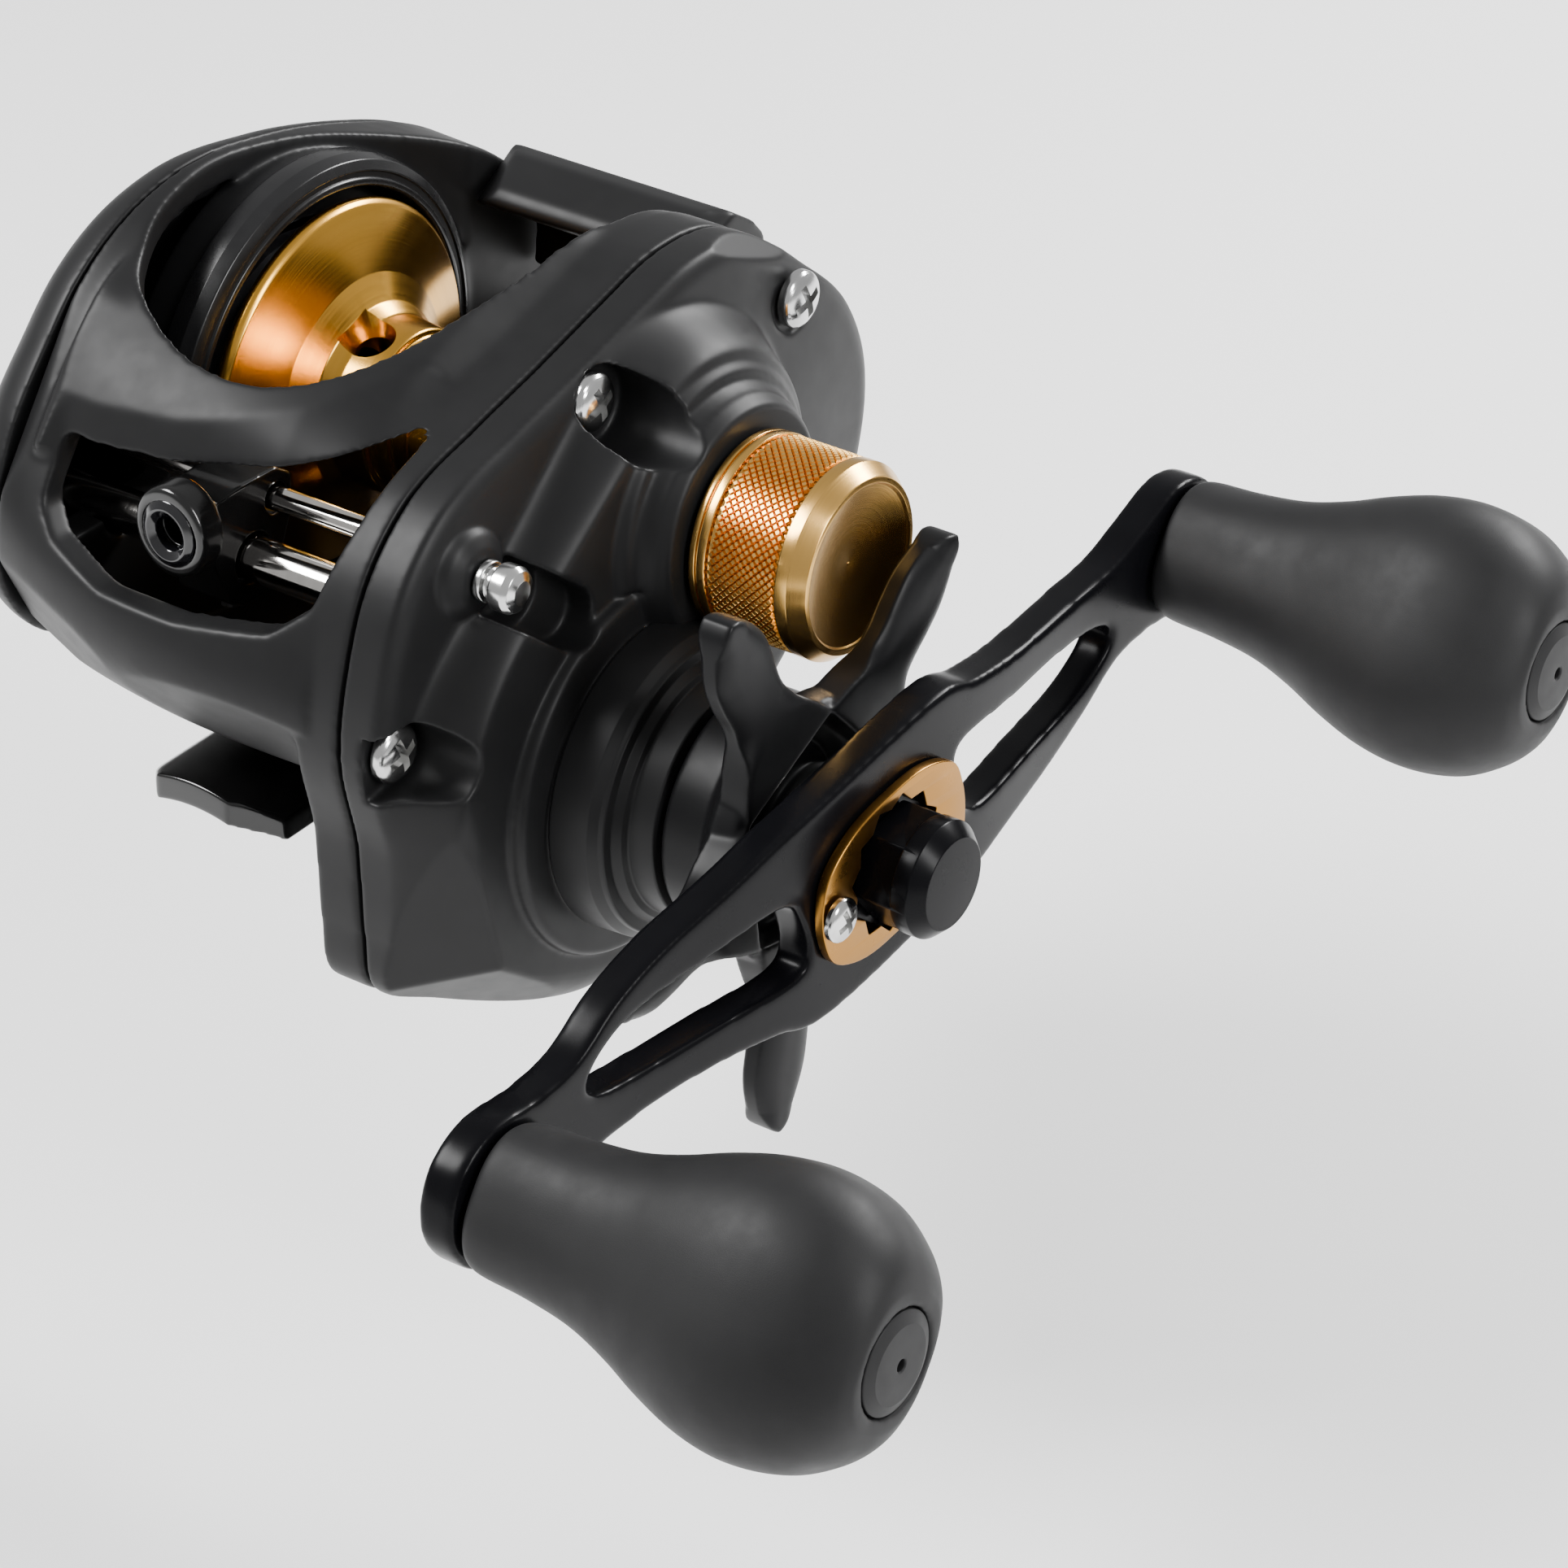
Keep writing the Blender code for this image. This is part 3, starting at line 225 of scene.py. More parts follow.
def straight(start, end, outer, inner=0):
    """Section of a straight rod or tube."""
    return [(start, inner), (start, outer), (end, outer), (end, inner)]


def rod(name, x0, x1, radius, centre, steps=64):
    return turned(name, straight(x0, x1, radius), centre, ROD_SHARP, steps)


def plate(name, outlines, x0, x1, centre, edge=0.0):
    """Plate from x0 to x1 from (y, z) outlines, the first its edge and the others its holes."""
    curve = bpy.data.curves.new(name, "CURVE")
    curve.dimensions = "2D"
    curve.fill_mode = "BOTH"
    curve.extrude = ((x1 - x0) / 2 - edge) * MM
    curve.bevel_depth = edge * MM
    curve.bevel_resolution = 3
    curve.offset = -edge * MM
    for outline in outlines:
        spline = curve.splines.new("POLY")
        spline.points.add(len(outline) - 1)
        for point, (a, b) in zip(spline.points, outline):
            point.co = (a * MM, b * MM, 0, 1)
        spline.use_cyclic_u = True
    obj = linked(name, curve)
    obj.location = Vector(((x0 + x1) / 2, centre[0], centre[1])) * MM
    obj.rotation_euler = (pi / 2, 0, pi / 2)
    obj = bake(obj)
    tidy_mesh(obj.data)
    return obj


def quads(count, around, first=0):
    """Faces between neighbouring rings of corners; the first ring starts at corner first."""
    return [(low + k, low + (k + 1) % around, low + around + (k + 1) % around, low + around + k)
            for low in range(first, first + (count - 1) * around, around)
            for k in range(around)]


def skin(count, around):
    """Faces of a closed body made of rings of corners."""
    last = (count - 1) * around
    return quads(count, around) + [tuple(reversed(range(around))), tuple(range(last, last + around))]


def block(name, low, high):
    corners = [(x, y, z) for x in (low[0], high[0]) for y in (low[1], high[1])
               for z in (low[2], high[2])]
    faces = [(0, 1, 3, 2), (4, 6, 7, 5), (0, 4, 5, 1), (2, 3, 7, 6), (0, 2, 6, 4), (1, 5, 7, 3)]
    return mesh_object(name, corners, faces)


def prism(name, outline, axis, start, end):
    """Prism along Y from (x, z) points, or along Z from (x, y) points."""
    total = len(outline)
    verts = [(p[0], s, p[1]) if axis == "Y" else (p[0], p[1], s)
             for s in (start, end) for p in outline]
    faces = [tuple(range(total)), tuple(range(2 * total - 1, total - 1, -1))]
    faces += [(k, k + total, (k + 1) % total + total, (k + 1) % total) for k in range(total)]
    return mesh_object(name, verts, faces)


def carried(obj, spot, *turns):
    """Turns the mesh about the origin, then moves it to the spot."""
    change = Matrix.Translation(Vector(spot) * MM)
    for angle, axis in turns:
        change = change @ Matrix.Rotation(angle, 4, axis)
    obj.data.transform(change)
    tidy_mesh(obj.data)
    return obj


def along_y(name, section, at, fillet=0.1, steps=64, closed=False):
    """Turned about a line parallel to Y at (x, z); the section is (y, radius) points."""
    obj = turned(name, section, (0, 0), fillet, steps, closed)
    return carried(obj, (at[0], 0, at[1]), (pi / 2, "Z"))


def combine(obj, others, operation):
    for other in others:
        mod = obj.modifiers.new("combine", "BOOLEAN")
        mod.operation = operation
        mod.object = other
        mod.solver = "MANIFOLD"
    obj = bake(obj)
    for other in others:
        bpy.data.objects.remove(other, do_unlink=True)
    return obj


def cut(obj, *others):
    return combine(obj, others, "DIFFERENCE")


def join(obj, *others):
    return combine(obj, others, "UNION")


# voxel size in millimetres and smoothing rounds: more rounds give rounder edges
SOFTNESS = {
    "frame": (0.2, 30), "gear_cover": (0.2, 12), "palm_cover": (0.28, 7), "star": (0.17, 22),
    "crank": (0.2, 60), "knob": (0.26, 8), "thumb_bar": (0.22, 26), "foot": (0.2, 26),
    "dial": (0.14, 4), "carriage": (0.13, 5),
}


def softened(obj, kind):
    """Even small faces over the whole piece, with every edge rounded off."""
    voxel, rounds = SOFTNESS[kind]
    remesh = obj.modifiers.new("remesh", "REMESH")
    remesh.mode = "VOXEL"
    remesh.voxel_size = voxel * MM
    smooth = obj.modifiers.new("smooth", "SMOOTH")
    smooth.factor = 0.5
    smooth.iterations = rounds
    return bake(obj)


def moved(obj, change):
    """Moves each vertex: change takes and gives an (n, 3) array in millimetres."""
    flat = np.zeros(len(obj.data.vertices) * 3)
    obj.data.vertices.foreach_get("co", flat)
    flat = change(flat.reshape(-1, 3) / MM) * MM
    obj.data.vertices.foreach_set("co", flat.ravel())
    obj.data.update()
    return obj


def show(obj, body, mat, slot_name, *nodes, smooth_angle=35):
    """Gives a piece its material, body and the CAD nodes that it stands for."""
    obj.data.materials.clear()
    obj.data.materials.append(mat)
    obj.data.shade_smooth()
    if smooth_angle:
        obj.data.set_sharp_from_angle(angle=radians(smooth_angle))
    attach(obj, body)
    if nodes:
        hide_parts(*nodes)
    return obj


def show_soft(obj, kind, *look):
    return show(softened(obj, kind), *look, smooth_angle=0)


# -------- materials
def new_material(name, color, roughness, metallic=0.0, coat=0.0, anisotropic=0.0, specular=0.5,
                 ior=1.5):
    mat = bpy.data.materials.new(name)
    mat.use_nodes = True
    shader = mat.node_tree.nodes["Principled BSDF"]
    for key, value in (("Base Color", (*color, 1)), ("Roughness", roughness), ("Metallic", metallic),
                       ("Coat Weight", coat), ("Coat Roughness", 0.12), ("Anisotropic", anisotropic),
                       ("Specular IOR Level", specular), ("IOR", ior)):
        shader.inputs[key].default_value = value
    return mat, mat.node_tree, shader


def noise(tree, vector, scale, detail=3.0):
    node = tree.nodes.new("ShaderNodeTexNoise")
    node.inputs["Scale"].default_value = scale
    node.inputs["Detail"].default_value = detail
    tree.links.new(vector, node.inputs["Vector"])
    return node.outputs["Fac"]


def ranged(tree, value, low, high):
    """The middle of a noise's range, spread from low to high."""
    node = tree.nodes.new("ShaderNodeMapRange")
    for key, number in (("From Min", 0.3), ("From Max", 0.7), ("To Min", low), ("To Max", high)):
        node.inputs[key].default_value = number
    tree.links.new(value, node.inputs["Value"])
    return node.outputs["Result"]


def tinted(tree, value, dark, light):
    node = tree.nodes.new("ShaderNodeMix")
    node.data_type = "RGBA"
    node.inputs["A"].default_value = (*dark, 1)
    node.inputs["B"].default_value = (*light, 1)
    tree.links.new(value, node.inputs["Factor"])
    return node.outputs["Result"]


def bumped(tree, shader, value, depth, strength=1.0):
    node = tree.nodes.new("ShaderNodeBump")
    node.inputs["Strength"].default_value = strength
    node.inputs["Distance"].default_value = depth * MM
    tree.links.new(value, node.inputs["Height"])
    tree.links.new(node.outputs["Normal"], shader.inputs["Normal"])


def calculated(tree, operation, *values):
    """Result of a sum on node outputs and numbers."""
    node = tree.nodes.new("ShaderNodeMath")
    node.operation = operation
    for socket, value in zip(node.inputs, values):
        if isinstance(value, float):
            socket.default_value = value
        else:
            tree.links.new(value, socket)
    return node.outputs[0]


def place(tree):
    """Where a point of the surface lies, in the object's own space."""
    return tree.nodes.new("ShaderNodeTexCoord").outputs["Object"]


def grained(name, dark, light, rough, grain, depth, metallic=0.0, coat=0.0, specular=0.5, ior=1.5):
    """Moulded, painted or rubber surface: cloudy tone, uneven sheen and a fine grain."""
    mat, tree, shader = new_material(name, dark, rough[0], metallic, coat, 0.0, specular, ior)
    where = place(tree)
    cloud = noise(tree, where, 140.0)
    tree.links.new(tinted(tree, ranged(tree, cloud, 0, 1), dark, light), shader.inputs["Base Color"])
    tree.links.new(ranged(tree, noise(tree, where, 420.0), *rough), shader.inputs["Roughness"])
    bumped(tree, shader, noise(tree, where, grain, 2.0), depth)
    return mat


def lathed(name, dark, light, rough, centre, depth=0.004):
    """Turned metal: fine rings about the axis at (y, z), with a faint change of tone."""
    mat, tree, shader = new_material(name, dark, rough[0], 1.0, 0.0, 0.4)
    where = place(tree)
    split = tree.nodes.new("ShaderNodeSeparateXYZ")
    tree.links.new(where, split.inputs["Vector"])
    squares = []
    for key, at in (("Y", centre[0]), ("Z", centre[1])):
        away = calculated(tree, "SUBTRACT", split.outputs[key], at * MM)
        squares.append(calculated(tree, "MULTIPLY", away, away))
    radius = calculated(tree, "SQRT", calculated(tree, "ADD", *squares))
    rings = tree.nodes.new("ShaderNodeCombineXYZ")
    tree.links.new(split.outputs["X"], rings.inputs["X"])
    tree.links.new(radius, rings.inputs["Y"])
    fine = noise(tree, rings.outputs["Vector"], 9000.0, 1.0)
    broad = noise(tree, rings.outputs["Vector"], 700.0, 2.0)
    tree.links.new(tinted(tree, ranged(tree, broad, 0, 1), dark, light), shader.inputs["Base Color"])
    tree.links.new(ranged(tree, fine, *rough), shader.inputs["Roughness"])
    bumped(tree, shader, fine, depth, 0.6)
    return mat


SOFT_TOUCH = grained("soft_touch_black", (0.0068, 0.0068, 0.0072), (0.0084, 0.0084, 0.0088),
                     (0.42, 0.47), 14000.0, 0.002, specular=0.2)
HOUSING = grained("inner_gloss_black", (0.006, 0.006, 0.0065), (0.009, 0.009, 0.0095),
                  (0.2, 0.3), 9000.0, 0.001, specular=0.35)
ANODISED = grained("black_anodised", (0.002, 0.002, 0.0026), (0.003, 0.003, 0.0038),
                   (0.24, 0.28), 14000.0, 0.0005, specular=0.3, ior=1.24)
STAR_BLACK = grained("blasted_black", (0.004, 0.004, 0.0046), (0.0055, 0.0055, 0.006),
                     (0.36, 0.42), 12000.0, 0.002, specular=0.5, ior=1.25)
GLOSS = grained("gloss_black_moulding", (0.003, 0.003, 0.003), (0.005, 0.005, 0.005),
                (0.12, 0.2), 9000.0, 0.001, coat=0.1)
RUBBER = grained("knob_soft_rubber", (0.0085, 0.0085, 0.009), (0.0105, 0.0105, 0.011),
                 (0.5, 0.57), 12000.0, 0.006, specular=0.22)
PLASTIC = grained("grey_acetal", (0.06, 0.06, 0.065), (0.085, 0.085, 0.09), (0.45, 0.55),
                  6000.0, 0.006)
CERAMIC = grained("black_ceramic", (0.004, 0.004, 0.005), (0.006, 0.006, 0.007), (0.06, 0.12),
                  3000.0, 0.001, coat=0.4)
CARBON = grained("friction_washer", (0.03, 0.03, 0.03), (0.05, 0.05, 0.05), (0.6, 0.75),
                 7000.0, 0.02)
GOLD_DARK, GOLD_LIGHT = (0.7, 0.4, 0.1), (0.78, 0.46, 0.13)
GOLD = lathed("gold_anodised", GOLD_DARK, GOLD_LIGHT, (0.2, 0.26), SPOOL, 0.0006)
SPOOL_GOLD = lathed("gold_anodised_spool", (0.66, 0.34, 0.045), (0.72, 0.38, 0.06), (0.2, 0.26),
                    SPOOL, 0.0006)
GOLD_PLATE = grained("gold_anodised_plate", GOLD_DARK, GOLD_LIGHT, (0.26, 0.32), 15000.0, 0.001,
                     metallic=1.0)
# Darker copy of the gold: the shade that falls on the lock plate is painted into its colour.
LOCK_GOLD_PAINTED_SHADE = grained("gold_anodised_lock_painted_shade", (0.36, 0.17, 0.03), (0.42, 0.2, 0.04), (0.26, 0.32),
                    15000.0, 0.001, metallic=1.0)
STEEL = lathed("stainless_steel", (0.55, 0.55, 0.56), (0.66, 0.66, 0.66), (0.16, 0.26), SPOOL)
DRIVE_STEEL = lathed("drive_steel", (0.5, 0.5, 0.51), (0.6, 0.6, 0.6), (0.18, 0.28), DRIVE)
SCREW_STEEL = grained("screw_steel", (0.6, 0.6, 0.6), (0.74, 0.74, 0.73), (0.12, 0.22), 9000.0,
                      0.003, metallic=1.0)
NICKEL = lathed("nickel_bar", (0.6, 0.58, 0.55), (0.7, 0.68, 0.65), (0.07, 0.14), WORM, 0.001)
BRASS = grained("machined_brass", (0.5, 0.33, 0.11), (0.62, 0.43, 0.17), (0.25, 0.38), 9000.0,
                0.006, metallic=1.0)
SHELL_LOOK = ("frame_body", SOFT_TOUCH, "body_satin_black")  # body, material and slot
PLAIN = {  # materials of the CAD nodes that stay on show, by slot
    "stainless": STEEL, "brass": BRASS, "grey_acetal": PLASTIC, "carbon": CARBON,
    "knob_rubber": RUBBER,
}

# -------- body outlines
# (y, z above the spool axis) of the left end, the middle and the handle side
UNDERSIDE = [(22, -14.5), (12, -17.8), (0, -18.3), (-12, -18), (-22, -16.2)]
LEFT_OUTLINE = [
    (-34.3, 0), (-31.8, 6.5), (-27.2, 12.2), (-22.6, 16.8), (-17.2, 20), (-9.9, 21.8), (1.4, 20.7),
    (13.1, 17.4), (24, 12), (29.6, 6.4), (31, 0), (29, -8), *UNDERSIDE, (-30, -12.8), (-34, -7)]
MIDDLE_OUTLINE = [
    (-37.4, -1.5), (-33.5, 3.6), (-30, 7.4), (-26, 11.4), (-21.5, 14.4), (-12, 18.2), (0, 19.6),
    (10, 18.2), (19.5, 14.2), (27, 8), (30.6, 0), (29.4, -8), *UNDERSIDE, (-34.5, -12), (-38, -7)]
RIGHT_TOP = [(-35.2, -1), (-32.2, 5.6), (-27.8, 9.8), (-18.2, 13), (-9.2, 15.2), (-1, 17.4),
             (5.3, 18.8), (12.8, 18.2), (21.9, 12), (28, 6), (30.5, 0)]
RIGHT_OUTLINE = [*RIGHT_TOP, (29.4, -8), *UNDERSIDE, (-34, -12.5), (-36.8, -7)]
GEAR_OUTLINE = [
    *RIGHT_TOP, (30.2, -7), (27, -13.5), (19, -17.6), (12.6, -21), (10.6, -26), (6.6, -32.3),
    (0.5, -37.5), (-7, -40.2), (-15, -40.1), (-22.4, -37.4), (-29, -34.2), (-33.8, -31.5),
    (-34.6, -26), (-34.9, -18), (-36.6, -8)]
OUTLINE_STATIONS = (-20.0, -3.0, 14.0)  # x of the left, middle and right outlines
BODY_CENTRE = (-3.0, -1.0)
GEAR_CENTRE = (-6.0, -10.0)
AROUND = 480
TURN = 2 * pi * np.arange(AROUND) / AROUND
WALL = 2.6
RING_LEFT, RING_RIGHT, PLATE_LEFT = -16.4, -13.3, 12.7  # x of the palm-side ring and the plate


def radii(outline, centre):
    """Radius about the centre at even angles, from a smooth curve through the outline's points."""
    spots = sorted((atan2(z - centre[1], y - centre[0]) % (2 * pi),
                    sqrt((y - centre[0]) ** 2 + (z - centre[1]) ** 2)) for y, z in outline)
    wrapped = ([(a - 2 * pi, r) for a, r in spots[-3:]] + spots
               + [(a + 2 * pi, r) for a, r in spots[:3]])
    angles, sizes = (np.array(column) for column in zip(*wrapped))
    slopes = np.gradient(sizes, angles)
    i = np.searchsorted(angles, TURN, side="right") - 1
    width = angles[i + 1] - angles[i]
    t = (TURN - angles[i]) / width
    return ((1 + 2 * t) * (1 - t) ** 2 * sizes[i] + t * (1 - t) ** 2 * width * slopes[i]
            + t * t * (3 - 2 * t) * sizes[i + 1] + t * t * (t - 1) * width * slopes[i + 1])


LEFT_R, MIDDLE_R = radii(LEFT_OUTLINE, BODY_CENTRE), radii(MIDDLE_OUTLINE, BODY_CENTRE)
RIGHT_R, GEAR_R = radii(RIGHT_OUTLINE, BODY_CENTRE), radii(GEAR_OUTLINE, GEAR_CENTRE)


def body_radii(x):
    """Body outline at station x, a parabola through the left, middle and right outlines."""
    left, mid, right = OUTLINE_STATIONS
    return ((x - mid) * (x - right) / ((left - mid) * (left - right)) * LEFT_R
            + (x - left) * (x - right) / ((mid - left) * (mid - right)) * MIDDLE_R
            + (x - left) * (x - mid) / ((right - left) * (right - mid)) * RIGHT_R)


def loft(name, stations, centre):
    """Closed loft along X; stations are (x, radii about the centre), by rising x."""
    verts = [(x, centre[0] + r * cos(a), SPOOL[1] + centre[1] + r * sin(a))
             for x, sizes in stations for a, r in zip(TURN, sizes)]
    return mesh_object(name, verts, skin(len(stations), AROUND))


# -------- frame
TOP_WINDOW = [(-13.4, 45), (-13.4, 30), (-13.4, 20), (-15.8, 12), (-17.8, 5), (-18.6, -2), (-18.6, -9.5),
              (-17.6, -16), (-14.6, -21.2), (-9.8, -23.9), (-4, -24.8), (1.4, -23.6), (5.6, -20.2),
              (8.6, -14.6), (10.3, -7), (11, 1), (11, 15), (11, 30), (11, 45)]
HOOD_LIP = [(-30, 6.6), (-16.5, 7.2), (-12.4, 6.9), (-5, 7.3), (5, 9.4), (15, 13.2), (20, 13.6)]
FRONT_WINDOW = [(-15.3, 2.6), (-13, 0.6), (-7, -1.2), (1, -1.3), (9.6, -0.3), (12.8, 2.2), (14.2, 8.0),
                (14.8, 13.1), (9, 10.9), (5, 9.6), (-5, 7.9), (-12.4, 7.7), (-15.2, 8.0)]
THUMB_GATE = (-13.4, 17.6, 15.7), (11.0, 45, 60)  # low and high corners, here and below
BAR_REACH = (-20, -40, 20.4), (-12, -20.4, 28.7)
LEVER_SLOT = (10, 20, 14.8), (20, 25.2, 27.5)
LEVER_ROOM = (16, 3.0, 14.8), (19.6, 25.6, 27.5)
BARS_LEFT = -19.4  # x where the two level wind bars end
WORM_BORE, BAR_BORE = 2.2, 1.35
HOOD_RISE, HOOD_BEVEL, BEVEL_HEIGHT, BEVEL_REAR = 1.6, 1.5, 3.2, -15
LIP_START, LIP_END = 1.6, 0.2  # depths under the lip where the hood's rise starts and is full
RING_DEPTH = 0.5  # how far the rings stay under the skin
# x (y for the rear ones) over which the hood's rise or its bevel comes or goes
HOOD_LEFT, HOOD_RIGHT, HOOD_REAR = (-17.7, -17.0), (10.0, 13.0), (2, 9)
BEVEL_LEFT, PALM_SIDE, PALM_REAR = (-17.0, -15.0), (-15, -12), (-23, -18)
COVER_SCREWS = {name: tuple(middle(f"cover_screw_{name}"))[1:]
                for name in ("top", "rear", "front")}
SEATS = {name: span(f"cover_screw_{name}")[1] - 1.8 for name in COVER_SCREWS}


def ease(value, start, end):
    """0 to 1 as the value goes from start to end, level at both."""
    t = np.clip((value - start) / (end - start), 0, 1)
    return t * t * (3 - 2 * t)


# outward direction and depth of the flats cut on the frame's and the cover's corners
FRAME_FACETS = [((-0.3, -0.86, -0.42), 1.0), ((0.05, -0.84, -0.54), 0.9), ((-0.3, -0.55, -0.78), 1.2),
                ((-0.5, -0.7, 0.51), 1.0)]
COVER_FACETS = [((0.62, -0.76, -0.2), 1.6), ((0.55, -0.5, -0.67), 1.4),
                ((0.6, 0.1, -0.79), 1.0), ((0.62, 0.3, 0.72), 0.8)]


def faceted(obj, facets):
    """Cuts a flat across each corner, square to its direction."""
    for direction, depth in facets:
        normal = Vector(direction).normalized()
        reach = max(normal.dot(v.co) for v in obj.data.vertices) / MM - depth
        slab = block("slab", (-80, -80, 0), (80, 80, 20))
        slab.data.transform(Matrix.Translation(normal * reach * MM)
                            @ normal.to_track_quat("Z", "Y").to_matrix().to_4x4())
        obj = cut(obj, slab)
    return obj


def hood_radii(x):
    """Body outline with the hood standing proud of the side rings, bevelled down to its lip."""
    sizes = body_radii(x)
    y, z = BODY_CENTRE[0] + sizes * np.cos(TURN), BODY_CENTRE[1] + sizes * np.sin(TURN)
    lip = np.interp(x, *zip(*HOOD_LIP))
    over_lip = ease(z, lip - LIP_START, lip - LIP_END)
    right_fade = 1 - ease(x, *HOOD_RIGHT)
    raised = HOOD_RISE * (ease(x, *HOOD_LEFT) * right_fade) * over_lip * (1 - ease(y, *HOOD_REAR))
    raised *= z > 0
    raised *= 1 - ease(y, *PALM_REAR) * (1 - ease(x, *PALM_SIDE))
    slope = np.clip((lip + BEVEL_HEIGHT - z) / BEVEL_HEIGHT, 0, 1)
    bevel = HOOD_BEVEL * slope * over_lip * (y < BEVEL_REAR)
    return sizes + raised - bevel * ease(x, *BEVEL_LEFT) * right_fade


def shell(name, stations, inset):
    """The body's outline drawn in by the inset."""
    return loft(name, [(x, body_radii(x) - inset) for x in stations], BODY_CENTRE)


def kept_inside(ring):
    """The ring without what would stand out through the frame's skin."""
    return combine(ring, [shell("room", (-22, -17, -12), RING_DEPTH)], "INTERSECT")


def make_frame():
    stations = np.concatenate([np.linspace(FRAME_LEFT, -18, 5), np.linspace(-17.9, -16.9, 6),
                               np.linspace(RING_LEFT, 14, 45)])
    body = loft("reel_frame", [(x, hood_radii(x)) for x in stations], BODY_CENTRE)
    side_plate = loft("side_plate", [(PLATE_LEFT, GEAR_R), (SEAM, GEAR_R)], GEAR_CENTRE)
    body = join(faceted(body, FRAME_FACETS), side_plate)
    hollow = shell("hollow", np.linspace(RING_RIGHT, PLATE_LEFT + 0.2, 12), WALL)
    rim_hollow = shell("rim_hollow", (-22, RING_LEFT), WALL)
    top_window = prism("top_window", smooth_loop(TOP_WINDOW, 6), "Z", 26, 60)
    front_window = prism("front_window", filleted([(x, z + SPOOL[1]) for x, z in FRONT_WINDOW],
                                                  2.0, count=6), "Y", -50, -18)
    thumb_gate = block("thumb_gate", *THUMB_GATE)
    body = cut(body, hollow, rim_hollow, top_window, front_window, thumb_gate)
    left_ring = rod("left_ring", FRAME_LEFT + 0.2, RING_RIGHT + 0.1, 19.2, SPOOL, 96)
    body = join(body, kept_inside(left_ring))
    spool_space = rod("spool_space", -24, PLATE_LEFT + 0.4, 17.0, SPOOL, 128)
    pinion_seat = turned("pinion_seat", [
        (12, 0), (12, 3.9), (14.4, 3.9), (14.4, 5.6), (20, 5.6), (20, 0)], SPOOL, SHARP)
    shaft_seat = rod("shaft_seat", 13.9, 20, 4.3, DRIVE)
    worm_end = rod("worm_end", -15.2, 20, WORM_BORE, WORM)
    guide_end = rod("guide_end", -15.2, 14.6, BAR_BORE, GUIDE)
    lever_slot = block("lever_slot", *LEVER_SLOT)
    bar_pocket = shell("bar_pocket", (-18.8, -16, -13), WALL)
    bar_pocket = combine(bar_pocket, [block("bar_reach", *BAR_REACH)], "INTERSECT")
    body = cut(body, spool_space, pinion_seat, shaft_seat, worm_end, guide_end, lever_slot,
               bar_pocket)
    show_soft(body, "frame", *SHELL_LOOK, "frame")
    ring = turned("spool_ring", [
        (RING_LEFT, 17.0), (-13.2, 17.0), (-12.95, 17.2), (-12.95, 17.7), (-13.3, 17.9),
        (-13.3, 18.2), (-13.0, 18.4), (-13.4, 19.3), (-14.6, 19.6), (RING_LEFT, 19.6)], SPOOL, 0.25,
        160, True)
    show(kept_inside(ring), "frame_body", HOUSING, "body_satin_black")


# -------- side covers
FRONT_NOTCH_END = (-40.0, 11.4)
KEEPER_SLOTS = [((-22.2, 1.9), 21.2), ((-18.3, -1.3), 24.0)]  # far end and floor
SCOOPS = {"top": (3.5, 0.9, -0.7), "rear": (3.1, 0, 0)}  # radius, and offset from the screw
CLEAR = 40  # x beyond the cover
COVER_EDGE = 20.4  # x where the outer face starts to round over from the rim
EDGE_ROUND, EDGE_SPREAD = 1.4, 0.5  # width of that rounding, and its growth with height
COVER_FLAT, FLAT_SLOPE = 21.3, 0.13  # x and slope of the face between the rim and the hump
COVER_HUMP, HUMP_CROWN = 26.5, 0.035  # x and slope of the hump's top
SLOPE_WIDTH = 12  # how far in from their edges the two go on rising
HUMP_DRIVE_R, HUMP_KNOB_R, HUMP_SLOPE = 22.2, 13.6, 3.2
COVER_RINGS = 90
PALM_GAP, PALM_INSET, PALM_ROUND, PALM_WALL = 0.3, 0.2, 12.8, 2.2
KNOB_COLLARS = [(0.9, 13.2, 1.0), (1.6, 11.8, 1.2)]  # height, outer radius, width of the step


def cover_height(y, z, from_edge):
    """x of the cover's outer face: sloping flats at the rim, and a tapered hump over the gears."""
    knob = np.hypot(y, z)
    across, along = SPOOL[0] - DRIVE[0], SPOOL[1] - DRIVE[1]
    length = np.hypot(across, along)
    dy, dz = y - (DRIVE[0] - SPOOL[0]), z + along
    side = np.abs(dy * along - dz * across) / length
    up = (dy * across + dz * along) / length
    taper = (HUMP_DRIVE_R - HUMP_KNOB_R) / length
    slant = sqrt(1 - taper * taper)
    level = -taper * side + slant * up
    inside = np.where(level < 0, HUMP_DRIVE_R - np.hypot(side, up),
                      np.where(level > slant * length, HUMP_KNOB_R - knob,
                               HUMP_DRIVE_R - slant * side - taper * up))
    flats = COVER_FLAT + FLAT_SLOPE * np.minimum(from_edge, SLOPE_WIDTH)
    crest = COVER_HUMP + HUMP_CROWN * np.clip(inside, 0, SLOPE_WIDTH)
    target = flats + (crest - flats) * ease(inside, -HUMP_SLOPE, 0.3)
    target = target + sum(rise * ease(radius - knob, 0, step) for rise, radius, step in KNOB_COLLARS)
    width = EDGE_ROUND + EDGE_SPREAD * (target - COVER_EDGE)
    t = np.clip(from_edge / width, 0, 1)
    return COVER_EDGE + (target - COVER_EDGE) * np.sqrt(1 - (1 - t) ** 2)


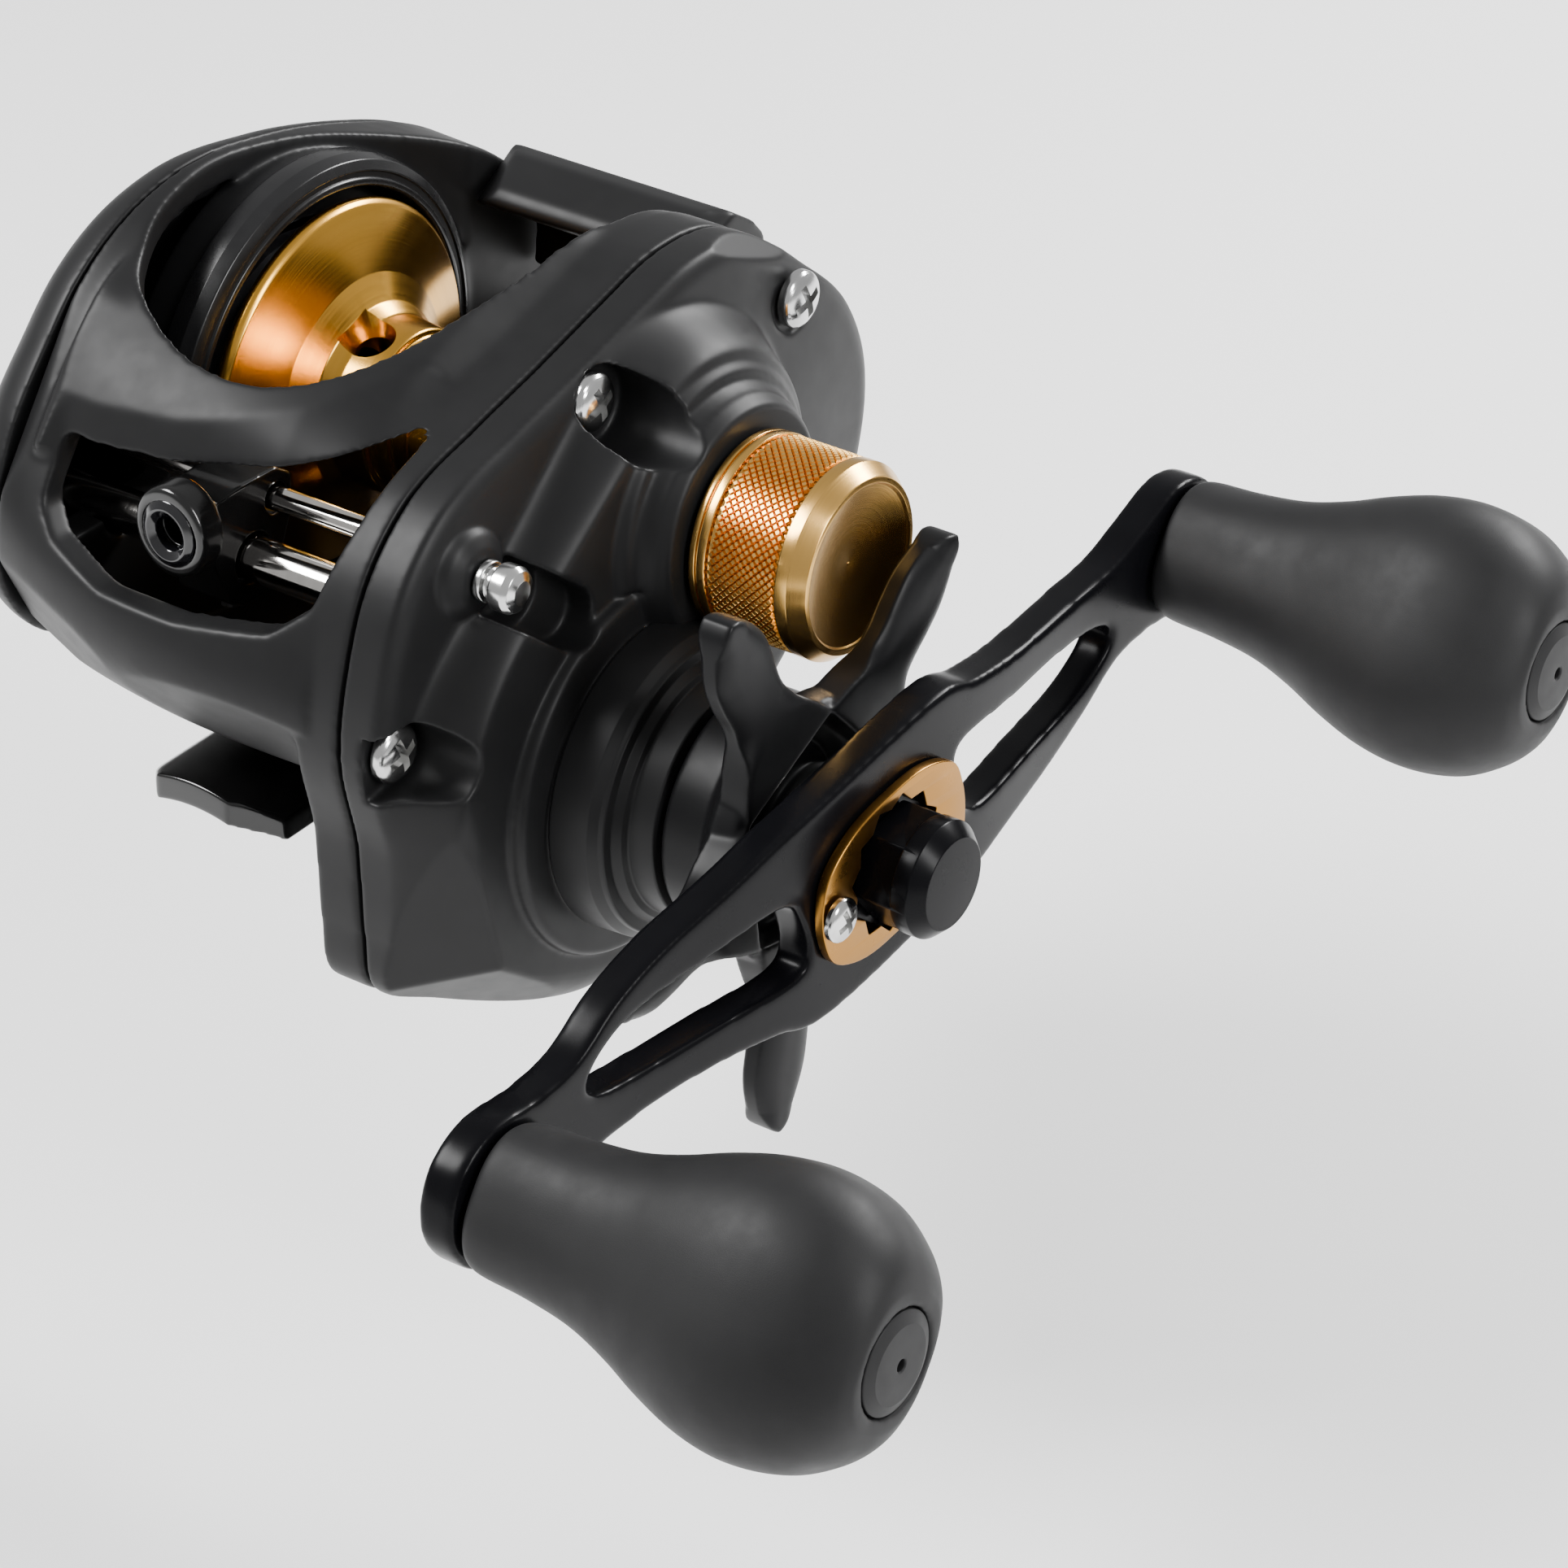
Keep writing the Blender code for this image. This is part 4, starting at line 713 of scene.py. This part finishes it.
def sculpted_cover():
    """The outer face as rings from its centre to the rim, and a flat inner face."""
    shares = np.sin(pi / 2 * np.arange(1, COVER_RINGS + 1) / COVER_RINGS)
    verts = [(float(cover_height(*GEAR_CENTRE, 20.0)), GEAR_CENTRE[0], GEAR_CENTRE[1] + SPOOL[1])]
    for share in list(shares) + [None]:
        r = GEAR_R * (share or 1)
        y, z = GEAR_CENTRE[0] + r * np.cos(TURN), GEAR_CENTRE[1] + r * np.sin(TURN)
        x = (np.full(AROUND, COVER_START) if share is None
             else cover_height(y, z, (1 - share) * GEAR_R))
        verts += list(zip(x, y, z + SPOOL[1]))
    faces = [(0, 1 + k, 1 + (k + 1) % AROUND) for k in range(AROUND)]
    faces += [(a, d, c, b) for a, b, c, d in quads(COVER_RINGS + 1, AROUND, 1)]
    last = 1 + COVER_RINGS * AROUND
    faces.append(tuple(range(last, last + AROUND)))
    return mesh_object("gear_cover", verts, faces)


def make_gear_cover():
    cover = faceted(sculpted_cover(), COVER_FACETS)
    knob_boss = turned("knob_boss", [
        (24, 0), (24, 11.0), (29.0, 11.0), (29.7, 10.5), (30.2, 10.2), (30.2, 0)], SPOOL, 0.4, 128)
    drive_boss = turned("drive_boss", [
        (24, 0), (24, 16.4), (27.5, 16.4), (27.9, 15.9), (27.9, 13.0), (29, 13.0), (29, 0)], DRIVE,
        0.3, 160)
    drive_line = turned("drive_line", straight(27.2, 28.4, 16.75, 16.35), DRIVE, SHARP, 160, True)
    cover = cut(join(cover, knob_boss, drive_boss), drive_line)
    gear_room = turned("gear_room", [
        (16, 0), (16, 20.1), (23.2, 20.1), (23.2, 15.2), (25.6, 15.2), (25.6, 8.2), (33.6, 8.2),
        (33.6, 5.6), (CLEAR, 5.6), (CLEAR, 0)], DRIVE, SHARP)
    yoke_room = turned("yoke_room", [
        (16, 0), (16, 9.6), (29.2, 9.6), (29.2, 3.6), (CLEAR, 3.6), (CLEAR, 0)], SPOOL,
        SHARP)
    knob_room = rod("knob_room", 30.3, 45, 9.0, SPOOL)
    worm_room = rod("worm_room", 16, 19.4, 7.1, WORM)
    lever_room = block("lever_room", *LEVER_ROOM)
    cutters = [gear_room, yoke_room, worm_room, knob_room, lever_room]
    for name, spot in COVER_SCREWS.items():
        if name in SCOOPS:
            radius, dy, dz = SCOOPS[name]
            cutters.append(rod("scoop_" + name, SEATS[name], CLEAR, radius,
                               (spot[0] + dy, spot[1] + dz)))
        else:
            notch = stadium(spot, FRONT_NOTCH_END, 3.0)
            cutters.append(plate("seat_front", [notch], SEATS[name], CLEAR, (0, 0)))
        cutters.append(rod("hole_" + name, 16, CLEAR, 1.3, spot, 32))
    for k, (end, floor) in enumerate(KEEPER_SLOTS):
        slot = stadium((-25.2, 4.4), end, 2.6)
        cutters.append(plate(f"keeper_slot_{k}", [slot], floor, CLEAR, SPOOL))
    cover = cut(cover, *cutters)
    keeper = tuple(middle("hook_keeper"))[1:]
    dome = turned("keeper_dome", [
        (20.0, 0), (20.0, 4.3), (21.4, 4.2), (22.4, 3.5), (23.1, 2.4), (23.3, 1.2), (23.3, 0)],
        keeper, 0.8, 64)
    neck = turned("knob_neck", [
        (29.9, 3.6), (31.2, 3.6), (31.2, 5.5), (37.0, 5.5), (37.0, 6.9), (29.9, 6.9)], SPOOL, SHARP,
        64, True)
    cover = cut(join(cover, dome, neck), rod("keeper_hole", 20.4, 24.6, 1.3, keeper, 32))
    show_soft(cover, "gear_cover", *SHELL_LOOK, "gear_side_cover")
    rings = turned("drive_ring_stack", [
        (28.2, 8.4), (28.2, 13.3), (28.5, 13.5), (32.0, 13.3), (32.7, 12.7), (33.2, 12.6),
        (33.2, 11.6), (33.9, 11.1), (34.1, 10.5), (36.5, 10.4), (36.5, 5.8), (33.8, 5.8),
        (33.8, 8.4)], DRIVE, 0.25, 160, True)
    show(rings, *SHELL_LOOK)


def make_palm_cover():
    low = span("palm_side_cover")[0]
    edge = FRAME_LEFT - PALM_GAP
    stations = [(edge - (edge - low) * sin(t), PALM_INSET + PALM_ROUND * (1 - cos(t)))
                for t in np.linspace(pi / 2, 0, 16)]
    cover = loft("palm_cover", [(x, LEFT_R - inset) for x, inset in stations], BODY_CENTRE)
    hollow = loft("palm_hollow", [(x, LEFT_R - inset - PALM_WALL) for x, inset in (
        (-25.6, 9.4), (-24.4, 5.8), (-22.8, 3.0), (-19, 1.6))], BODY_CENTRE)
    pocket = rod("dial_pocket", -35, -27.0, 11.4, SPOOL, 96)
    cover = cut(cover, hollow)
    house = turned("brake_house", straight(-26.2, -16.6, 16.6, 13.6), SPOOL, SHARP, 96, True)
    cover = cut(join(cover, house), pocket)
    show_soft(cover, "palm_cover", *SHELL_LOOK, "palm_side_cover")


# -------- fasteners
RECESS_FLOOR = 0.35  # share of the head's height
CROSS_LONG, CROSS_WIDE = 0.62, 0.15  # shares of the head's radius
CROSS_TURN = radians(20)


def phillips(name, node, head_r, head_h, body, shank_r):
    """Domed cross-recess screw in the place of a CAD screw."""
    tip, top = span(node)
    centre = tuple(middle(node))[1:]
    seat = top - head_h
    section = [(tip, 0), (tip, shank_r), (seat, shank_r), (seat, head_r)]
    section += [(seat + head_h * (RECESS_FLOOR + (1 - RECESS_FLOOR) * sin(t)), head_r * cos(t))
                for t in np.linspace(0, pi / 2, 12)[:-1]] + [(top, 0)]
    screw = turned(name, section, centre, 0.06, 64)
    arm, half = head_r * CROSS_LONG, head_r * CROSS_WIDE
    cross = [(-arm, -half), (-half, -half), (-half, -arm)]
    for _ in range(3):
        cross += [(-v, u) for u, v in cross[-3:]]
    turn = Matrix.Rotation(CROSS_TURN, 2)
    recess = plate(name + "_recess", [[tuple(turn @ Vector(p)) for p in cross]],
                   seat + head_h * RECESS_FLOOR, top + 2, centre)
    show(cut(screw, recess), body, SCREW_STEEL, "stainless", node)


def make_fasteners():
    for name in COVER_SCREWS:
        phillips(f"screw_{name}", f"cover_screw_{name}", 2.5, 1.5, "frame_body", 1.0)
    phillips("arm_screw", "retainer_screw", 1.9, 1.1, "crank", 0.65)
    start, top = span("hook_keeper")
    keeper = turned("line_keeper", [
        (start, 0), (start, 1.0), (23.4, 1.0), (23.4, 1.75), (24.1, 1.75), (24.1, 1.2), (25.0, 1.2),
        (25.0, 2.0), (26.3, 2.0), (top - 1.1, 1.7), (top - 0.8, 1.0), (top - 0.75, 0)],
        tuple(middle("hook_keeper"))[1:], 0.18, 64)
    show(keeper, "frame_body", SCREW_STEEL, "stainless", "hook_keeper")


# -------- spool and tension knob
LINE_HOLES_X, LINE_HOLES = -6.6, (18, 198)  # the holes' x, and their angles in degrees
KNURL_ROWS, KNURL_AROUND = 9, 68
KNURL_START, KNURL_END = 32.4, 39.0
KNURL_VALLEY, KNURL_PEAK, KNURL_TOP = 8.06, 8.42, 0.58  # radii, and the peak's share of its base


def make_spool():
    outer = [(-13.2, 15.4), (-12.9, 16.3), (-12.1, 16.3), (-11.7, 15.9), (-9.6, 10.6), (-8.2, 8.4),
             (-7.0, 7.6), (-3.6, 7.3), (-3.4, 6.7), (-1.8, 6.5), (-1.6, 6.1), (0.1, 6.1), (0.3, 6.4),
             (3, 6.4), (5.5, 6.5), (8, 8.7), (10, 12), (11.3, 15), (11.8, 16.3), (12.3, 16.3),
             (12.4, 15.6)]
    inner = [(12.4, 14.6), (11.2, 12.2), (9.4, 8.6), (7.2, 4.8), (5.8, 1.5), (-5.8, 1.5),
             (-7.6, 4.6), (-9.8, 8.0), (-11.6, 11.2), (-13.2, 14.2)]
    spool = turned("line_spool", outer + inner, SPOOL, 0.7, 160, True)
    profile = [(0, 0), (0, 1.6), (6.0, 1.6), (8.4, 2.7), (8.4, 0)]
    holes = []
    for angle in LINE_HOLES:
        hole = turned(f"line_hole_{angle}", profile, (0, 0), 0.01, 48)
        holes.append(carried(hole, (LINE_HOLES_X, *SPOOL), (radians(angle), "X"), (-pi / 2, "Y")))
    show(cut(spool, *holes), "spool_body", SPOOL_GOLD, "gold_anodised", "spool")


def make_tension_knob():
    section = [(30.7, 7.4), (30.7, 8.45), (31.3, 8.45), (31.3, 8.2), (31.5, 8.2), (31.5, 8.5),
               (32.3, 8.5), (32.3, 8.0), (39.1, 8.0), (39.1, 8.45), (40.3, 8.45), (41.3, 7.7),
               (41.6, 7.5), (41.6, 7.0), (41.35, 6.85), (40.9, 5.0), (40.55, 2.5), (40.45, 0.02),
               (38.6, 0.02), (38.6, 7.3)]
    body = turned("tension_cap", section, SPOOL, 0.12, 160, True)
    show(body, "tension", GOLD, "gold_anodised", "tension_knob", smooth_angle=28)


def make_knurl():
    """Blunt four-sided points in rows about the tension knob, each row half a step on."""
    row, step = (KNURL_END - KNURL_START) / (2 * KNURL_ROWS), pi / KNURL_AROUND
    verts, faces = [], []
    for i in range(1, 2 * KNURL_ROWS):
        for k in range(i % 2, 2 * KNURL_AROUND, 2):
            start = len(verts)
            for share, r in ((1.0, KNURL_VALLEY), (KNURL_TOP, KNURL_PEAK)):
                for di, dk in ((1, 0), (0, 1), (-1, 0), (0, -1)):
                    a = (k + dk * share) * step
                    verts.append((KNURL_START + (i + di * share) * row, SPOOL[0] + r * cos(a),
                                  SPOOL[1] + r * sin(a)))
            faces += [tuple(range(start + 4, start + 8))] + quads(2, 4, start)
    knurl = mesh_object("tension_knurl", verts, faces)
    show(knurl, "tension", GOLD_PLATE, "gold_anodised", smooth_angle=0)
    knurl.data.shade_flat()


# -------- star, crank and knobs
STAR_ARMS, STAR_FIRST_ARM, STAR_REACH = 5, radians(43), 27.0
STAR_ARM = [(8.5, 6.4), (11.0, 5.2), (13.5, 3.8), (16.5, 3.2), (19.5, 3.4), (22.0, 3.3),
            (24.4, 2.4), (26.2, 1.2), (STAR_REACH, 0.0)]  # radius and half width along an arm
STAR_BACK, STAR_FRONT, STAR_MIDDLE = 42.25, 45.3, 43.75
STAR_THINNING, THIN_FROM, NARROWEST = 0.5, (13, 16), 2.2


def make_star():
    hub = turned("star_wheel", [
        (36.9, 2.5), (36.9, 10.2), (41.0, 10.2), (42.3, 11.6), (44.6, 11.4), (45.0, 10.4), (42.4, 8.4),
        (41.4, 6.6), (44.0, 5.6), (44.0, 2.5)], DRIVE, 0.5, 128, True)
    rows = smooth_rows(STAR_ARM, 5)
    half = [(r, max(w, 0.02)) for r, w in rows]
    loop = half + [(r, -w) for r, w in reversed(half)]
    arms = []
    for k in range(STAR_ARMS):
        a = STAR_FIRST_ARM + 2 * pi * k / STAR_ARMS
        outline = [(r * cos(a) - w * sin(a), r * sin(a) + w * cos(a)) for r, w in loop]
        arms.append(plate(f"star_arm_{k}", [outline], STAR_BACK, STAR_FRONT, DRIVE))
    star = softened(join(hub, *arms), "star")

    def pillowed(points):
        """Thins each arm towards its edges."""
        y, z = points[:, 1] - DRIVE[0], points[:, 2] - DRIVE[1]
        reach, step = np.hypot(y, z), 2 * pi / STAR_ARMS
        off = (np.arctan2(z, y) - STAR_FIRST_ARM + step / 2) % step - step / 2
        width = np.interp(reach, rows[:, 0], np.maximum(rows[:, 1], NARROWEST))
        share = np.clip(np.abs(reach * np.sin(off)) / width, 0, 1)
        thin = 1 - STAR_THINNING * share ** 3 * ease(reach, *THIN_FROM)
        points[:, 0] = STAR_MIDDLE + (points[:, 0] - STAR_MIDDLE) * thin
        return points
    show(moved(star, pillowed), "star", STAR_BLACK, "black_anodised", "star_drag", smooth_angle=0)


# points along and across the crank, from its centre, for one half of it
ARM_EDGE = [(8.5, 10.2), (15, 7.9), (22, 6.0), (30, 4.8), (37, 4.3), (42, 5.2), (47.5, 6.2),
            (51.9, 4.4), (53.7, 0), (51.9, -4.4), (47.5, -6.2), (42, -5.2), (37, -5.2), (32, -7.2),
            (26, -8.6), (18, -9.4), (10, -10.2)]
ARM_SLOT = [(11.2, 3.6), (20, 2.5), (30, 0.9), (35, -0.5), (36.4, -2.2), (34.6, -3.9), (30, -5.0),
            (22, -4.6), (13.5, -3.9), (11.2, -1.5)]
ARM_BACK, ARM_FRONT = 48.4, 51.8
ARM_DROP, ARM_BEND = 2.0, (9, 35)  # how far the ends are drawn in, and the radii between


def make_handle():
    halves = (False, True)
    edge = [handle_point(u, v, flip) for flip in halves for u, v in ARM_EDGE]
    slots = [[handle_point(u, v, flip) for u, v in ARM_SLOT] for flip in halves]
    outlines = [smooth_loop(outline, 5) for outline in (edge, *slots)] + [circle(2.3, 40)]
    outlines += [circle(2.35, 40, handle_point(HANDLE_HALF, 0, flip)) for flip in halves]
    arm = softened(plate("crank_arm", outlines, ARM_BACK, ARM_FRONT, DRIVE), "crank")

    def cranked(points):
        """Draws the crank's ends in towards the cover."""
        reach = np.hypot(points[:, 1] - DRIVE[0], points[:, 2] - DRIVE[1])
        points[:, 0] -= ARM_DROP * ease(reach, *ARM_BEND)
        return points
    show(moved(arm, cranked), "crank", ANODISED, "black_anodised", "handle_arm", smooth_angle=0)


LOCK_HALF = [(-9.9, -1.6), (-8.6, -4.4), (-4.8, -6.3), (0, -6.7), (4.8, -6.3), (8.6, -4.4),
             (9.7, -1.6)]
LOCK_BACK, LOCK_FRONT = 52.0, 52.9
LOCK_POINTS, LOCK_INNER, LOCK_OUTER = 24, 5.3, 6.1  # the toothed hole round the nut


def make_nut_and_retainer():
    inner, outer = circle(LOCK_INNER, LOCK_POINTS), circle(LOCK_OUTER, LOCK_POINTS)
    teeth = [(outer if k % 2 else inner)[k] for k in range(LOCK_POINTS)]
    outline = LOCK_HALF + [(u, -v) for u, v in reversed(LOCK_HALF)]
    loops = [smooth_loop(outline, 5), filleted(teeth, 0.15), circle(0.95, 32, (-8.5, 0.4))]
    loops = [[handle_point(u, v, False) for u, v in loop] for loop in loops]
    lock = plate("nut_lock_plate", loops, LOCK_BACK, LOCK_FRONT, DRIVE, 0.12)
    # The lock plate gets the darker gold, with its shade painted into the colour.
    show(lock, "crank", LOCK_GOLD_PAINTED_SHADE, "gold_anodised", "nut_retainer")
    hexagon = filleted(circle(5.1, 6, phase=HANDLE_ANGLE), 0.35)
    nut = plate("crank_nut", [hexagon], LOCK_BACK, 56.0, DRIVE, 0.3)
    end = turned("nut_end", [(55.6, 0), (55.6, 5.0), (57.2, 5.0), (58.4, 3.9), (58.4, 0)], DRIVE,
                 0.2, 72)
    nut = cut(join(nut, end), rod("nut_bore", 50, 57.5, 2.2, DRIVE))
    show(nut, "crank", ANODISED, "black_anodised", "handle_nut")


# x, and half of the knob's longer and shorter width
KNOB_PROFILE = [
    (50.1, 5.2, 4.9), (51.0, 6.1, 5.5), (55.5, 6.4, 5.5), (60, 7.0, 5.8), (64, 8.2, 6.5),
    (68, 9.8, 7.5), (72, 11.0, 8.4), (76, 11.4, 8.8), (80, 10.7, 8.4), (83, 9.0, 7.3),
    (84.8, 7.2, 6.1), (85.6, 5.4, 5.0)]
KNOB_ANGLE, KNOB_AROUND = radians(55), 120
KNOB_SQUARENESS = 0.8  # 1 gives an ellipse, and less than 1 fuller corners


def fuller(size, share):
    return size * abs(share) ** KNOB_SQUARENESS * (1 if share > 0 else -1)


def make_knobs():
    rows = smooth_rows(KNOB_PROFILE, 6)
    c, s = cos(KNOB_ANGLE), sin(KNOB_ANGLE)
    for number, centre in KNOBS.items():
        body = "knob_a" if number == 1 else "knob_b"
        verts = []
        for x, wide, deep in rows:
            for k in range(KNOB_AROUND):
                a = 2 * pi * k / KNOB_AROUND
                p, q = fuller(wide, cos(a)), fuller(deep, sin(a))
                verts.append((x, centre[0] + p * c - q * s, centre[1] + p * s + q * c))
        knob = mesh_object(f"grip_{number}", verts, skin(len(rows), KNOB_AROUND))
        knob = cut(knob, rod("bore", 45, 84.2, 2.35, centre), rod("seat", 84.6, 90, 4.35, centre))
        show_soft(knob, "knob", body, RUBBER, "knob_rubber", f"knob_{number}")
        cap = turned(f"grip_cap_{number}", [
            (84.2, 0.5), (84.2, 4.2), (85.5, 4.2), (85.9, 3.2), (86.0, 0.5)], centre, 0.2, 64, True)
        show(cap, body, RUBBER, "gloss_black", f"knob_cap_{number}")
        post = turned(f"grip_post_{number}", [
            (45.2, 0), (45.2, 3.6), (46.2, 3.6), (46.2, 2.05), (83.6, 2.05), (83.6, 0)], centre,
            0.15, 64)
        show(post, "crank", DRIVE_STEEL, "stainless", f"knob_post_{number}")


# -------- thumb bar, foot, dial
THUMB_LEFT, THUMB_RIGHT = -13.0, 10.6
THUMB_SECTION = [(18.4, 31.2), (19.4, 32.4), (23.5, 33.8), (27.2, 33.2), (30.2, 29.6), (30.9, 24.5),
                 (29.6, 20.6), (27.8, 20.6), (28.3, 24.6), (26.2, 28.8), (20.4, 29.6)]
THUMB_FACETS = [((-0.62, -0.4, 0.68), 1.8), ((0.55, -0.3, 0.78), 1.2), ((0, 0.55, 0.83), 0.6)]
TONGUE = {  # low and high corners of the arm that runs into the cover
    "tongue_root": ((6.0, 21.2, 25.6), (10.5, 24.2, 31.5)),
    "tongue_link": ((6.0, 21.2, 22.4), (10.5, 24.2, 26.4)),
    "tongue": ((10.0, 21.2, 22.4), (18.2, 24.2, 26.4)),
}
FOOT_BEND = (14, 22)  # distances from y = 0 over which the foot's ends curl
SADDLE_RISE, SADDLE_CURVE, SADDLE_HALF = 0.9, 0.036, 7.5


def make_thumb_bar():
    bar = plate("thumb_pad", [filleted(THUMB_SECTION, 1.2, count=6)], THUMB_LEFT, THUMB_RIGHT, (0, 0))
    bar = faceted(bar, THUMB_FACETS)
    bar = join(bar, *[block(name, *corners) for name, corners in TONGUE.items()])
    show_soft(bar, "thumb_bar", "thumb", SOFT_TOUCH, "body_satin_black", "thumb_bar")


def copied(node, name):
    """A copy of a CAD node's shape."""
    obj = linked(name, frame["nodes"][node].data.copy())
    tidy_mesh(obj.data)
    return obj


def make_foot_and_dial():
    foot = softened(copied("reel_foot", "rod_foot"), "foot")

    def saddle(points):
        """Lifts the middle line of each end above its sides."""
        off = np.minimum(np.abs(points[:, 0]), SADDLE_HALF)
        bend = ease(np.abs(points[:, 1]), *FOOT_BEND)
        points[:, 2] += bend * (SADDLE_RISE - SADDLE_CURVE * off ** 2)
        return points
    show(moved(foot, saddle), "frame_body", GLOSS, "black_anodised", "reel_foot", smooth_angle=0)
    dial = copied("brake_dial", "cast_dial")
    show_soft(dial, "dial", "dial", ANODISED, "black_anodised", "brake_dial")


# -------- level wind
CARRIAGE_SIDE = [(-31.2, 22.4), (-29.4, 17.4), (-27.8, 16.6), (-24.8, 16.6), (-23.2, 18.4),
                 (-21.4, 22.6), (-21.2, 26.0), (-23.0, 27.2), (-27.2, 27.4), (-31.2, 27.2)]
CARRIAGE_HALF = 2.7
NOZZLE_R, NOZZLE_STRETCH = 3.6, 1.12  # the guide ring and its mouth stand taller than wide


def make_level_wind():
    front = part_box("line_guide")[0].y / MM
    ring = middle("guide_ring")
    x, ring_z = ring.x, ring.z
    carriage = plate("guide_carriage", [filleted(CARRIAGE_SIDE, 0.9)], x - CARRIAGE_HALF,
                     x + CARRIAGE_HALF, (0, 0))
    nozzle = along_y("nozzle", straight(front, -30.5, NOZZLE_R), (x, ring_z), 0.6)
    tall = Matrix.Translation((0, 0, ring_z * MM)) @ Matrix.Diagonal((1, 1, NOZZLE_STRETCH, 1)) @ (
        Matrix.Translation((0, 0, -ring_z * MM)))
    nozzle.data.transform(tall)
    carriage = join(carriage, nozzle)
    throat = along_y("throat", straight(-36, -32.2, 2.75), (x, ring_z))
    passage = along_y("passage", straight(-36, -18, 1.5), (x, ring_z))
    pawl_room = turned("pawl_room", straight(10, 20, 1.3), (0, 0), 0.1, 48)
    carried(pawl_room, (x, WORM[0], 0), (-pi / 2, "Y"))
    carriage = cut(carriage, rod("worm_bore", -30, 30, WORM_BORE, WORM),
                   rod("bar_bore", -30, 30, BAR_BORE, GUIDE), throat, passage, pawl_room)
    show_soft(carriage, "carriage", "carriage", GLOSS, "gloss_black", "line_guide")
    insert = along_y("line_ring", [
        (-33.3, 1.35), (-33.8, 2.0), (-33.4, 2.65), (-32.3, 2.65), (-32.3, 1.35)], (x, ring_z), 0.25,
        72, True)
    insert.data.transform(tall)
    show(insert, "carriage", CERAMIC, "ceramic", "guide_ring")
    end = span("guide_bar")[1]
    bar = turned("upper_bar", straight(BARS_LEFT, end, 1.05), GUIDE, 0.15)
    show(bar, "frame_body", NICKEL, "plated_bar", "guide_bar")
    end = span("worm_guard_tube")[1]
    tube = turned("worm_tube", straight(BARS_LEFT, end, 1.9, 1.45), WORM, 0.1, 72, True)
    slot = block("worm_slot", (-12, WORM[0] - 0.85, WORM[1] - 4), (11, WORM[0] + 0.85, WORM[1] - 0.7))
    show(cut(tube, slot), "frame_body", NICKEL, "plated_bar", "worm_guard_tube")


# -------- carried-over CAD nodes
def paint_the_rest():
    """Every CAD node that is still shown gets the material of its slot in the record."""
    slots = {part["node"]: part["material_slot"] for part in frame["record"]["subparts"]}
    for name, node in frame["nodes"].items():
        if not node.hide_render:
            node.data.materials.clear()
            node.data.materials.append(PLAIN[slots[name]])


# -------- floor, lights and camera
KNOB_REACH = 13.0  # the floor lies below the lowest place that a turning knob gets to
FLOOR_HALF, FLOOR_COLOR = 3000, (0.93, 0.93, 0.93)
BACKGROUND = 0.55
LIGHTS = {  # place, target, width and height, power
    "key": ((-300, -260, 420), (20, -10, 10), (240, 200), 5.6),
    "rim": ((120, 460, 300), (20, 0, 15), (260, 120), 4.6),
    "side": ((430, -60, 260), (30, 0, 10), (90, 260), 1.9),
}
CAMERA_PLACE, CAMERA_TARGET = (274.7, -336.3, 252.5), (40.2, -8.5, 4.3)
LENS, SENSOR = 134.67, 36.0


def aimed(obj, spot, target):
    """Puts a light or the camera at its spot and turns it to the target."""
    obj.location = Vector(spot) * MM
    obj.rotation_euler = (Vector(target) - Vector(spot)).to_track_quat("-Z", "Y").to_euler()
    return obj


def make_studio():
    floor_z = DRIVE[1] - HANDLE_HALF - KNOB_REACH
    corners = [(x * FLOOR_HALF, y * FLOOR_HALF, floor_z)
               for x, y in ((-1, -1), (1, -1), (1, 1), (-1, 1))]
    floor = mesh_object("floor", corners, [(0, 1, 2, 3)])
    floor.data.materials.append(new_material("pale_floor", FLOOR_COLOR, 0.9, specular=0.0)[0])
    world = bpy.data.worlds.new("studio")
    world.use_nodes = True
    world.node_tree.nodes["Background"].inputs["Color"].default_value = (1, 1, 1, 1)
    world.node_tree.nodes["Background"].inputs["Strength"].default_value = BACKGROUND
    bpy.context.scene.world = world
    for name, (spot, target, size, power) in LIGHTS.items():
        light = bpy.data.lights.new(name, "AREA")
        light.shape = "RECTANGLE"
        light.size, light.size_y = size[0] * MM, size[1] * MM
        light.energy = power
        aimed(linked(name, light), spot, target)
    camera = aimed(linked("camera", bpy.data.cameras.new("camera")), CAMERA_PLACE, CAMERA_TARGET)
    camera.data.lens, camera.data.sensor_width = LENS, SENSOR
    camera.data.clip_start, camera.data.clip_end = 0.01, 20
    bpy.context.scene.camera = camera


make_studio()
make_frame()
make_gear_cover()
make_palm_cover()
make_fasteners()
make_spool()
make_tension_knob()
make_knurl()
make_star()
make_handle()
make_nut_and_retainer()
make_knobs()
make_thumb_bar()
make_foot_and_dial()
make_level_wind()
paint_the_rest()
